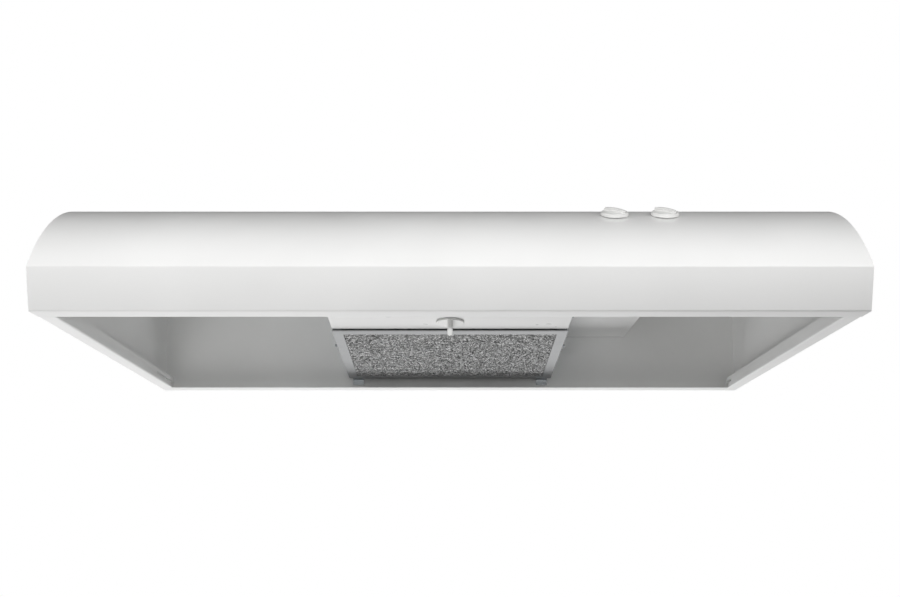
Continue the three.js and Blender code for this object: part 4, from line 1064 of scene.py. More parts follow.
    def knockout(self) -> None:
        """The knock-out plate: round-cornered, with a shallow pressed rib inside its edge."""
        low, high = bench_box("rear_duct_knockout")
        outline = shrinking(low[0], high[0], low[2], high[2], 1.0)
        rib_in, rib_out, relief = 9.0, 6.0, 0.45
        rings = [(0.0, low[1]), (0.0, high[1]), (rib_out, high[1]), (rib_out + 1, high[1] - relief),
                 (rib_in, high[1] - relief), (rib_in + 1, high[1])]
        shell = stacked(outline, rings).standing((0, 2, 1))
        self.shop.put("rear_duct_knockout", "duct_knockout", shell)


# ---------------------------------------------------------------- filter and light tray


@dataclass
class Tray:
    """The filter, the light lens and the latch, all on the tray's slope.

    Attributes:
        slope_deg: how steeply the tray falls towards the wall.
        front_height: the lens plane's height at the filter's front edge.
        filter_length: the filter's length along the slope.
        filter_thick: the frame's thickness.
        rim: the frame's width.
        lens_length: the lens's length.
        lens_thick: the lens's thickness.
    """

    shop: Paintshop
    slope_deg: float = 4.3
    front_height: float = 34.9
    filter_length: float = 230
    filter_width: float = 266.7
    filter_thick: float = 2.6
    rear_gap: float = 9
    rim: float = 12
    lens_length: float = 128
    lens_thick: float = 2.5
    lens_gap: float = 1.4
    pin_radius: float = 2.0
    latch_setback: float = 31.8

    def __post_init__(self) -> None:
        """Works out the tray's own frame: y along the slope, z off the lens plane."""
        slope = math.radians(self.slope_deg)
        front = DEPTH - self.rear_gap - self.filter_length * math.cos(slope)
        self.matrix = Matrix.Translation((0, front, self.front_height)) @ Matrix.Rotation(-slope, 4, "X")

    def build(self) -> None:
        """Makes and dresses every piece on the tray."""
        self.frame_of_filter()
        self.mesh_of_filter()
        self.lens()
        self.hinge_pin()
        self.latch()
        self.snap_buttons()
        self.clips()

    def frame_of_filter(self) -> None:
        """The filter's frame: a rolled channel section mitred round the mesh, with two rear tabs."""
        half, top = self.filter_width / 2, -0.3
        low = top - self.filter_thick
        outline = shrinking(-half, half, 0, self.filter_length, 1.6)
        nose = 1.1
        section = np.concatenate([
            arc([nose, low + nose], nose, 180, 270, 5), [[self.rim, low], [self.rim, low + 0.5]],
            [[self.rim - 0.6, low + 0.8], [self.rim - 0.6, top - 0.8]],
            [[self.rim, top - 0.5], [self.rim, top]], arc([nose, top - nose], nose, 90, 180, 5),
        ])
        ring = stacked(outline, section, wrapped=True)
        middle = (low + top) / 2
        rear, tab_half, tab_inset = self.filter_length, 5, 12
        tabs = [box(x - tab_half, x + tab_half, rear - 1.4, rear + 4.2, middle - 0.4, middle + 0.4, 0.15)
                for x in (tab_inset - half, half - tab_inset)]
        joined = [(Cut.JOIN, tab.placed(self.matrix)) for tab in tabs]
        self.shop.put("filter_frame", "filter_rim", ring.placed(self.matrix), joined)

    def mesh_of_filter(self) -> None:
        """The filter's foil: slit strands that zigzag in two layers, with painted glints, over a crumpled
        deep layer painted dark as shade.
        """
        half = self.filter_width / 2 - self.rim + 0.25
        near, far = self.rim - 0.25, self.filter_length - self.rim + 0.25
        low = -0.3 - self.filter_thick
        layers = [
            self._strands(half, near, far, pitch=2.7, wave=2.3, level=low + 0.75, seed=11),
            self._strands(half, near, far, pitch=3.3, wave=2.9, level=low + 1.25, seed=12),
        ]
        front = (layers[0] + layers[1]).placed(self.matrix)
        # the front layers' white strands are painted glints
        self.shop.put("filter_mesh", "filter_foil", front, smooth_to=80, weld=False)
        # the deep layer: its near-black finish is painted shade
        deep = self._crumpled(half, near, far, low + 1.55).placed(self.matrix)
        self.shop.put("filter_mesh", "filter_foil_deep", deep, smooth_to=80, weld=False, finish=SHADED_DEEP_FOIL)

    def _strands(self, half: float, near: float, far: float, pitch: float, wave: float, level: float,
                 seed: int) -> Shell:
        """One layer of expanded foil.

        Strand j runs along x at y = near + j pitch, and swings half a pitch each way in a triangle wave
        whose phase turns over on the next strand, so that neighbours meet in diamonds. Chance bends it.
        """
        chance = np.random.default_rng(seed)
        x = np.arange(-half, half, wave / 2)
        rows = np.arange(near + pitch / 2, far - pitch / 2, pitch)
        beat = np.arange(len(x))[None, :] + 2 * (np.arange(len(rows))[:, None] % 2)
        swing = np.where(beat % 4 < 2, 1.0, -1.0)
        y = rows[:, None] + swing * pitch * 0.36 + chance.normal(0, 0.24, (len(rows), len(x)))
        z = level + chance.normal(0, 0.13, y.shape)
        x = x[None, :] + chance.normal(0, 0.2, y.shape)
        line = np.stack([np.clip(x, -half, half), y, np.clip(z, level - 0.3, level + 0.3)], axis=-1)
        width = chance.uniform(0.2, 0.42, (len(rows), 1, 1))
        tilt = chance.uniform(-0.9, 0.9, y.shape)[..., None]
        across_strand = np.concatenate([0 * tilt, np.cos(tilt), np.sin(tilt)], axis=-1) * width
        up = np.array([0.0, 0.0, 0.16])
        ring = np.stack([line - across_strand, line + across_strand, line + up], axis=2)
        count, steps = len(rows), ring.shape[1]
        faces = grid_faces(steps, 3, wrap_columns=True)
        shift = (np.arange(count) * steps * 3)[:, None, None]
        ends = np.array([[0, 2, 1], [0, 1, 2]]) + np.array([[0], [(steps - 1) * 3]])
        sides, caps = (faces[None] + shift).reshape(-1, 4), (ends[None] + shift).reshape(-1, 3)
        return Shell(ring.reshape(-1, 3), [sides, caps])

    def _crumpled(self, half: float, near: float, far: float, level: float) -> Shell:
        """The deep layers: a closed slab whose lower face rises and falls by chance, a millimetre a step."""
        chance = np.random.default_rng(21)
        x, y = np.linspace(-half, half, 160), np.linspace(near, far, 136)
        gx, gy = np.meshgrid(x, y, indexing="ij")
        relief = chance.uniform(-0.3, 0.3, gx.shape)
        relief[[0, -1], :] = relief[:, [0, -1]] = 0
        low = np.stack([gx, gy, level + relief], axis=-1).reshape(-1, 3)
        high = np.stack([gx, gy, np.full_like(gx, level + 0.45)], axis=-1).reshape(-1, 3)
        faces = grid_faces(len(x), len(y))
        edges = np.stack([faces, np.roll(faces, -1, axis=1)], axis=-1).reshape(-1, 2)
        _, first, count = np.unique(np.sort(edges, axis=1), axis=0, return_index=True, return_counts=True)
        border = edges[first[count == 1]]
        total = len(low)
        walls = np.column_stack([border[:, 1], border[:, 0], border[:, 0] + total, border[:, 1] + total])
        return Shell(np.concatenate([low, high]), [faces[:, ::-1], faces + total, walls])

    def lens(self) -> None:
        """The light lens: a moulded panel, narrower at its nose, with two hinge knuckles."""
        half, nose_half = self.filter_width / 2 - 0.4, 130.5
        front, rear, step = -self.lens_gap - self.lens_length, -self.lens_gap, 13
        outline = rounded([
            [-nose_half, front], [nose_half, front], [nose_half, front + step - 1], [half, front + step - 1],
            [half, rear], [-half, rear], [-half, front + step - 1], [-nose_half, front + step - 1],
        ], [1.2, 1.2, 0.3, 1.2, 1.2, 1.2, 1.2, 0.3], 4, closed=True)
        panel = slab(outline, 0, self.lens_thick, 0.7, 0.3, 4)
        pin = front - 4
        knuckle, bore = self.pin_radius + 1.5, self.pin_radius + 0.3
        changes = []
        for x in (-80, 80):
            sleeve = across(bar(knuckle, -10, 10, 0.4, 32)).moved(x, pin, 2)
            web = box(x - 9, x + 9, pin, front + 2, 0.3, 2.2, 0.2)
            changes += [(Cut.JOIN, sleeve), (Cut.JOIN, web)]
        changes.append((Cut.TAKE, across(bar(bore, -100, 100, 0, 32)).moved(0, pin, 2)))
        changes.append((Cut.TAKE, bar(4.5, -2, 5, 0, 40).moved(0, -self.latch_setback, 0)))
        placed = [(kind, shell.placed(self.matrix)) for kind, shell in changes]
        self.shop.put("light_lens", "lens_panel", panel.placed(self.matrix), placed)

    def hinge_pin(self) -> None:
        """The lens's hinge pin, with a chamfer at both ends."""
        low, high = bench_box("lens_hinge_pin")
        pin = across(bar(self.pin_radius, low[0], high[0], 0.5, 32))
        pin = pin.moved(0, (low[1] + high[1]) / 2, (low[2] + high[2]) / 2)
        self.shop.put("lens_hinge_pin", "hinge_pin", pin)

    def latch(self) -> None:
        """The latch: knob with a finger fin, its stem, the spring leaf and the push nut."""
        radius, thick, fin_half, drop, stem_radius = 15.5, 2.2, 2.9, 9.6, 4
        top = -0.4
        low = top - thick
        dish = np.array([
            [0, low + 0.5], [radius - 3.2, low + 0.35], [radius - 1.8, low], [radius - 0.7, low + 0.05],
            [radius, low + 0.7], [radius, top - 0.4], [radius - 0.4, top], [0, top],
        ])
        disc = turned(dish, 72)
        fin = slab(capsule(fin_half, radius - fin_half - 0.2), low - drop, low + 1, 1.2, 0.1, 5)
        stem = bar(stem_radius, low + 1, 8.4, 0.5, 40)
        place = self.matrix @ Matrix.Translation((0, -self.latch_setback, 0))
        joined = [(Cut.JOIN, fin.placed(place)), (Cut.JOIN, stem.placed(place))]
        self.shop.put("latch_knob", "latch_turn", disc.placed(place), joined)
        leaf = slab(rectangle(-5, 5, -6, 20, 1.5), 4.6, 5.4, 0.1)
        bore = bar(stem_radius + 0.3, 3, 7, 0, 40)
        self.shop.put("latch_tongue", "latch_leaf", leaf.placed(place), [(Cut.TAKE, bore.placed(place))])
        dish = np.array([[4.3, 5.7], [8, 5.7], [8, 6.2], [7.5, 6.5], [4.8, 7.3], [4.3, 7.3]])
        nut = turned(dish, 40, wrapped=True)
        self.shop.put("latch_push_nut", "latch_nut", nut.placed(place))

    def snap_buttons(self) -> None:
        """The two snap buttons: low domes, flattened against the rail."""
        angle = np.linspace(0, math.pi / 2, 9)
        dome_radius, dome_height, squash, setback = 2.05, 2.0, 0.6, 71
        dome = np.stack([dome_radius * np.sin(angle), -0.4 - dome_height * np.cos(angle)], axis=1)
        profile = np.concatenate([dome, [[2.1, 1.0], [0, 1.0]]])
        for name in ("left", "right"):
            low, high = bench_box(f"snap_button_{name}")
            shell = turned(profile, 32)
            shell.points[:, 0] *= squash
            place = self.matrix @ Matrix.Translation(((low[0] + high[0]) / 2, setback, 0))
            self.shop.put(f"snap_button_{name}", f"snap_{name}", shell.placed(place))

    def clips(self) -> None:
        """The rear clips: spring angles with a rolled bend."""
        for name in ("left", "right"):
            low, high = bench_box(f"filter_clip_{name}")
            path = rounded([[low[1], high[2]], [high[1], high[2]], [high[1], low[2]]], 1.6, 6)
            fold = Fold(path, 1.0)
            self.shop.put(f"filter_clip_{name}", f"clip_{name}", fold.across(low[0], high[0], 4))


# ---------------------------------------------------------------- blower, damper and lamp


@dataclass
class Blower:
    """The scroll, the wheel, the inlet ring and the motor.

    Attributes:
        wheel_radius: the wheel's outer radius.
        band: from its eye to its rim.
        wheel_height: the blades' height.
        growth: how far the scroll winds out from its cut-off to its mouth.
        start_deg: where the scroll starts.
    """

    shop: Paintshop
    wheel_radius: float = 52
    band: float = 10
    wheel_height: float = 46
    growth: float = 18
    start_deg: float = 60
    blades: int = 40

    def __post_init__(self) -> None:
        """Reads the wheel's axis and the heights from the frame."""
        low, high = bench_box("blower_wheel")
        self.y = (low[1] + high[1]) / 2
        self.low = low[2]
        self.deck = bench_box("blower_deck")[1][2]
        self.ceiling = HEIGHT - SHEET_STEEL

    def build(self) -> None:
        """Makes and dresses every piece of the blower."""
        self.scroll()
        self.wheel()
        self.ring()
        self.motor()

    def scroll(self) -> None:
        """The scroll: its radius grows evenly with the angle, then the sheet runs straight to the wall."""
        start = self.wheel_radius + 4
        angle = np.radians(np.linspace(self.start_deg, 360, 150))
        radius = start + self.growth * np.linspace(0, 1, 150)
        spiral = np.stack([radius * np.cos(angle), self.y + radius * np.sin(angle)], axis=1)
        wall = bench_box("outlet_wall")[0][1] - 0.3
        first, last = [spiral[0, 0], wall], [spiral[-1, 0], wall]
        fold = Fold(np.concatenate([[first], spiral, [last]]), SHEET_STEEL)
        low, high = self.deck + 0.3, self.ceiling - 0.3
        lead_z = bench_box("motor_lead")[0][2] + 3
        mark = fold.mark(1, self.y, after=fold.marks[-1] * 0.8)
        hole = round_hole(mark, lead_z, 4.5)
        u = grid_lines(0, fold.marks[-1], 5, [(mark - 4.5, mark + 4.5, 8)], fold.marks)
        v = grid_lines(low, high, 12, [(lead_z - 4.5, lead_z + 4.5, 8)])

        def place(along: Points, z: Points, depth: float) -> Points:
            """The path gives x and y, and z is kept."""
            return np.stack([*fold.at(along, depth), z], axis=1)

        self.shop.put("blower_scroll", "scroll_strip", Sheet(u, v, [hole]).bent(place, SHEET_STEEL))

    def wheel(self) -> None:
        """The wheel: curved blades between two rings, on a cup that folds down round the motor."""
        eye, rim = self.wheel_radius - self.band, self.wheel_radius
        top = self.low + self.wheel_height
        floor = bench_box("motor_body")[0][2] - 5
        cup = eye - 2
        hub = np.array([
            [rim, top], [cup, top], [cup, floor + 2], [3.3, floor + 2], [3.3, floor - 7], [8, floor - 7],
            [8, floor], [cup + 1, floor], [cup + 1, top - 1.5], [rim, top - 1.5],
        ])
        band = np.array([[eye, self.low], [rim, self.low], [rim, self.low + 1.5], [eye, self.low + 1.5]])
        turn = np.linspace(0, 1, 9)
        radius = eye + 1.2 + (rim - eye - 2) * turn
        lean = 0.19 * turn ** 1.6
        thick = np.where((turn == 0) | (turn == 1), 0.35, 0.6) / radius
        front, back = np.stack([radius, lean - thick], 1), np.stack([radius, lean + thick], 1)
        side = np.concatenate([front, back[::-1]])
        angle = side[None, :, 1] + np.linspace(0, FULL_TURN, self.blades, endpoint=False)[:, None]
        flat = np.stack([side[None, :, 0] * np.cos(angle), side[None, :, 0] * np.sin(angle)], axis=-1)
        level = np.array([self.low + 0.9, top - 0.9])[None, :, None]
        rings = np.concatenate([np.repeat(flat[:, None], 2, axis=1),
                                np.broadcast_to(level[..., None], (self.blades, 2, len(side), 1))], axis=-1)
        blades = Shell(np.zeros((0, 3)))
        for ring in rings:
            blades = blades + lofted(ring)
        whole = turned(hub, 96, wrapped=True) + turned(band, 96, wrapped=True) + blades
        self.shop.put("blower_wheel", "fan_wheel", whole.moved(0, self.y, 0))

    def ring(self) -> None:
        """The inlet ring: a flat flange that turns up on an arc into the wheel's eye."""
        low, high = bench_box("inlet_ring")
        eye = self.wheel_radius - self.band
        flange = eye + 14
        setback, outer, inner = 4.6, 6.0, 4.5
        centre = [eye + setback, low[2] + outer]
        bell = arc(centre, outer, 270, 200, 10)
        inside = arc(centre, inner, 200, 270, 10)
        mouth = [[eye - 2.3, high[2]], [eye - 1.0, high[2]]]
        profile = np.concatenate([
            [[flange, low[2]]], bell, mouth, inside, [[flange, low[2] + 1.5]],
        ])
        self.shop.put("inlet_ring", "inlet_bell", turned(profile, 96, wrapped=True).moved(0, self.y, 0))

    def motor(self) -> None:
        """The motor: a can with round shoulders, a lamination band and a boss, and its shaft and bracket."""
        low, high = bench_box("motor_body")
        radius, shoulder = (high[0] - low[0]) / 2, 4.0
        middle = (low[2] + high[2]) / 2
        lower = arc([radius - shoulder, low[2] + shoulder], shoulder, 270, 360, 8)
        upper = arc([radius - shoulder, high[2] - shoulder], shoulder, 0, 90, 8)
        groove_depth = 0.7
        groove = [(9.3, 0), (9, groove_depth), (8.4, groove_depth), (8.1, 0)]
        grooves = np.array([[radius - depth, middle - off] for off, depth in groove]
                           + [[radius - depth, middle + off] for off, depth in reversed(groove)])
        foot = [[0, low[2]], [12, low[2]], [13, low[2] + 0.6], [16, low[2] + 0.6], [17, low[2]]]
        profile = np.concatenate([foot, lower, grooves, upper, [[0, high[2]]]])
        self.shop.put("motor_body", "motor_shell", turned(profile, 96).moved(0, self.y, 0))
        low, high = bench_box("motor_shaft")
        self.shop.put("motor_shaft", "shaft", bar(3, low[2], high[2], 0.4, 40).moved(0, self.y, 0))
        low, high = bench_box("motor_bracket")
        plate = slab(rectangle(low[0], high[0], low[1], high[1], 5, 6), low[2], high[2], 0.2)
        screw_x, screw_hole = 42, 2.2
        hole = bar(screw_hole, low[2] - 2, high[2] + 2, 0, 32)
        holes = [(Cut.TAKE, hole.moved(x, self.y, 0)) for x in (-screw_x, screw_x)]
        self.shop.put("motor_bracket", "motor_plate", plate, holes)


@dataclass
class Damper:
    """The outlet collar with its back-draught flap.

    Attributes:
        flange: how far the collar's flange reaches under the top.
    """

    shop: Paintshop
    flange: float = 6.0

    def build(self) -> None:
        """Makes and dresses the collar, the flap and the pin."""
        low, high = bench_box("damper_frame")
        x, front, rear = high[0] - 2, low[1] + self.flange, high[1] - self.flange
        outline = shrinking(-x, x, front, rear, 0.8)
        top, under = HEIGHT, HEIGHT - SHEET_STEEL - 0.3
        section = np.array([
            [1, low[2]], [1, top - 0.3], [0.7, top], [0.3, top], [0, top - 0.3], [0, under], [-1.9, under],
            [-1.9, under - 1], [0, under - 1], [0, low[2]],
        ])
        collar = stacked(outline, section, wrapped=True)
        ledge = box(0.5 - x, x - 0.5, front + 0.5, front + 4, low[2], low[2] + 1, 0.1)
        pin_low, pin_high = bench_box("damper_pin")
        y, z = (pin_low[1] + pin_high[1]) / 2, (pin_low[2] + pin_high[2]) / 2
        bore = across(bar(1.8, -x - 3, x + 3, 0, 24)).moved(0, y, z)
        self.shop.put("damper_frame", "outlet_collar", collar, [(Cut.JOIN, ledge), (Cut.TAKE, bore)])
        self.flap(y, z)
        pin = across(bar(1.5, pin_low[0], pin_high[0], 0.3, 24)).moved(0, y, z)
        self.shop.put("damper_pin", "flap_pin", pin)

    def flap(self, y: float, z: float) -> None:
        """The flap: sheet that runs back under the pin and curls over it."""
        low, high = bench_box("damper_flap")
        curl = arc([y, z], 2.8, 270, 560, 28)
        path = np.concatenate([[[low[1], low[2]]], [[y - 9, low[2]]], curl])
        path[:, 1] = np.clip(path[:, 1], low[2], high[2])
        fold = Fold(path[::-1], 0.9)
        self.shop.put("damper_flap", "draught_flap", fold.across(low[0], high[0], 30))


@dataclass
class Lamp:
    """The lamp, its socket and the reflector over it.

    Attributes:
        bulb_radius: the bulb's radius.
        neck: its neck's radius.
        thread_pitch: the screw base's pitch.
        socket_radius: the socket's radius.
    """

    shop: Paintshop
    bulb_radius: float = 24
    neck: float = 13
    thread_pitch: float = 3.6
    socket_radius: float = 19

    def __post_init__(self) -> None:
        """Reads the lamp's axis from the frame."""
        low, high = bench_box("lamp_bulb")
        self.low, self.high = low[0], high[0]
        self.y, self.z = (low[1] + high[1]) / 2, (low[2] + high[2]) / 2

    def on_axis(self, shell: Shell) -> Shell:
        """A shell turned about Z laid on the lamp's axis, its z becoming x."""
        return across(shell).moved(0, self.y, self.z)

    def build(self) -> None:
        """Makes and dresses the bulb, base, socket, bracket and reflector."""
        self.bulb()
        self.base()
        self.socket()
        self.reflector()

    def bulb(self) -> None:
        """The bulb: a sphere whose skin leaves on a smooth S to the neck.

        Past 55 degrees the radius blends to the neck's by a smooth step of the way along the axis.
        """
        radius, centre = self.bulb_radius, self.low + self.bulb_radius
        parting_deg = 55
        angle = np.radians(np.linspace(180, parting_deg, 40))
        ball = np.stack([radius * np.sin(angle), centre + radius * np.cos(angle)], axis=1)
        share = np.linspace(0, 1, 20)[1:]
        reach = self.high - 3 - ball[-1, 1]
        slope = -math.tan(math.radians(90 - parting_deg)) * reach
        ease = 3 * share ** 2 - 2 * share ** 3
        hermite = share ** 3 - 2 * share ** 2 + share
        flank = ball[-1, 0] * (1 - ease) + self.neck * ease + slope * hermite
        level = ball[-1, 1] + share * reach
        neck = np.stack([np.maximum(flank, self.neck), level], axis=1)
        profile = np.concatenate([ball, neck, [[self.neck, self.high], [0, self.high]]])
        profile[0, 0] = 0
        self.shop.put("lamp_bulb", "bulb", self.on_axis(turned(profile, 72)))

    def base(self) -> None:
        """The screw base: a helical thread, whose radius waves with the angle less a turn for each pitch."""
        low, high = bench_box("lamp_base")
        length = high[0] - low[0]
        along = np.linspace(0, length - 6, 64)
        angle = np.linspace(0, FULL_TURN, 64, endpoint=False)
        fade = np.clip(along / 2, 0, 1) * np.clip((length - 6 - along) / 2, 0, 1)
        wave = 0.55 * np.cos(angle[None] - FULL_TURN * along[:, None] / self.thread_pitch) - 0.55
        radius = self.neck - 0.05 + wave * fade[:, None]
        rings = np.stack([radius * np.cos(angle), radius * np.sin(angle),
                          np.broadcast_to(low[0] + along[:, None], radius.shape)], axis=-1)
        tip = np.array([[9.5, length - 3.5], [5.2, length - 2], [5, length - 0.6], [4.4, length]])
        caps = np.stack([tip[:, :1] * np.cos(angle), tip[:, :1] * np.sin(angle),
                         np.broadcast_to(low[0] + tip[:, 1:], (4, 64))], axis=-1)
        shell = lofted(np.concatenate([rings, caps]))
        self.shop.put("lamp_base", "screw_base", self.on_axis(shell))

    def socket(self) -> None:
        """The porcelain socket: a thick cup with a rolled mouth and a stepped foot."""
        low, high = bench_box("lamp_socket")
        mouth, back, radius, bore = low[0], high[0], self.socket_radius, self.neck + 1
        profile = np.concatenate([
            [[0, back - 3]], [[bore, back - 3]],
            arc([bore + 1.5, mouth + 1.5], 1.5, 180, 270, 6), arc([radius - 2, mouth + 2], 2, 270, 360, 6),
            [[radius, back - 12]], arc([radius - 1.5, back - 8], 1.5, 0, 80, 5), [[radius - 4, back - 6]],
            [[radius - 4, back]], [[0, back]],
        ])
        self.shop.put("lamp_socket", "socket_cup", self.on_axis(turned(profile, 72)))
        low, high = bench_box("socket_bracket")
        plate = slab(rectangle(low[1], high[1], low[2], high[2], 4, 6), low[0], high[0], 0.15)
        self.shop.put("socket_bracket", "socket_plate", across(plate))

    def reflector(self) -> None:
        """The reflector: thin sheet folded over the lamp."""
        low, high = bench_box("lamp_reflector")
        radius, top = self.bulb_radius, high[2]
        path = rounded([
            [low[1] + 0.1, low[2] + 4.5], [self.y - radius - 8, top - 14], [self.y - radius + 6, top],
            [self.y + radius - 2, top], [self.y + radius + 10, top - 14], [high[1] - 3.9, low[2] + 0.4],
        ], 6, 10)
        fold = Fold(path, 0.5)
        length, room = self.socket_radius + 3, high[0] - 32

        def keep(x: Points, along: Points) -> Points:
            """The corner by the socket is left open."""
            y, _ = fold.at(along.reshape(-1), 0)
            return (x < room) | (abs(y.reshape(along.shape) - self.y) > length)

        u = grid_lines(low[0], high[0], 20, [(room, high[0], 2)])
        marks = [fold.mark(0, self.y - length), fold.mark(0, self.y + length)]
        v = np.unique(np.round(np.concatenate([fold.marks, marks]), 6))

        def place(x: Points, along: Points, depth: float) -> Points:
            """The bend: x is kept, and the path gives y and z."""
            return np.stack([x, *fold.at(along, depth)], axis=1)

        self.shop.put("lamp_reflector", "reflector_sheet", Sheet(u, v, (), keep).bent(place, 0.5))


# ---------------------------------------------------------------- controls and wiring


@dataclass
class Controls:
    """The two control knobs on the crown.

    Attributes:
        tangent_deg: the crown's slope under them.
        radius: a knob's radius.
        ridge_turn_deg: the turn of its finger ridge.
    """

    shop: Paintshop
    tangent_deg: float = 28.5
    radius: float = 13.5
    ridge_turn_deg: float = 135

    def build(self) -> None:
        """Makes and dresses both knobs, nuts and shafts."""
        y, z = PROFILE.knob_spot(self.tangent_deg)
        for name in ("fan", "light"):
            low, high = bench_box(f"{name}_knob")
            x = (low[0] + high[0]) / 2
            place = Matrix.Translation((x, y, z)) @ Matrix.Rotation(math.radians(self.tangent_deg), 4, "X")
            self.knob(name, place)
            nut = slab(circle(8, 6), 0.3, 2.2, 0.25).placed(place)
            hole = bar(5.3, -1, 4, 0, 32).placed(place)
            self.shop.put(f"{name}_switch_nut", f"{name}_nut", nut, [(Cut.TAKE, hole)])
            shaft = bar(2, -SHEET_STEEL - 15.6, 5.1, 0.3, 32)
            self.shop.put(f"{name}_switch_shaft", f"{name}_shaft", shaft.placed(place))

    def knob(self, name: str, place: Matrix) -> None:
        """A knob: a low cap with a rolled skirt, and a waisted finger ridge across it."""
        r, skirt, top = self.radius, 3.2, 8.0
        profile = np.concatenate([
            [[0, 2.8]], [[r - 2.2, 2.8]], [[r - 2, 0.5]], [[r - 0.3, 0.5]], [[r, 0.8]],
            arc([r - 1.7, skirt - 0.7], 1.7, 0, 80, 8), [[r * 0.55, skirt + 1.35]], [[0, skirt + 1.6]],
        ])
        along = np.linspace(-1, 1, 41)
        reach = (r - 1.7) * along
        ridge_half, flare, dip = 2.7, 0.35, 0.26
        half = ridge_half + flare * along ** 2
        half = half * np.sqrt(np.clip(1 - np.clip((abs(along) - 0.9) / 0.1, 0, 1) ** 2, 0.02, 1))
        crown = skirt + (top - skirt) * (1 - dip * along ** 2)
        angle = np.linspace(0, math.pi, 13)[None, :]
        width = half[:, None] * np.sign(np.cos(angle)) * abs(np.cos(angle)) ** 0.75
        height = skirt - 0.6 + (crown[:, None] - skirt + 0.6) * abs(np.sin(angle)) ** 0.45
        ridge = lofted(np.stack([np.broadcast_to(reach[:, None], width.shape), width, height], axis=-1))
        turn = Matrix.Rotation(math.radians(self.ridge_turn_deg), 4, "Z")
        changes = [(Cut.JOIN, ridge.placed(place @ turn)), (Cut.TAKE, bar(2.3, 1, 5.4, 0, 28).placed(place))]
        self.shop.put(f"{name}_knob", f"{name}_cap", turned(profile, 72).placed(place), changes)


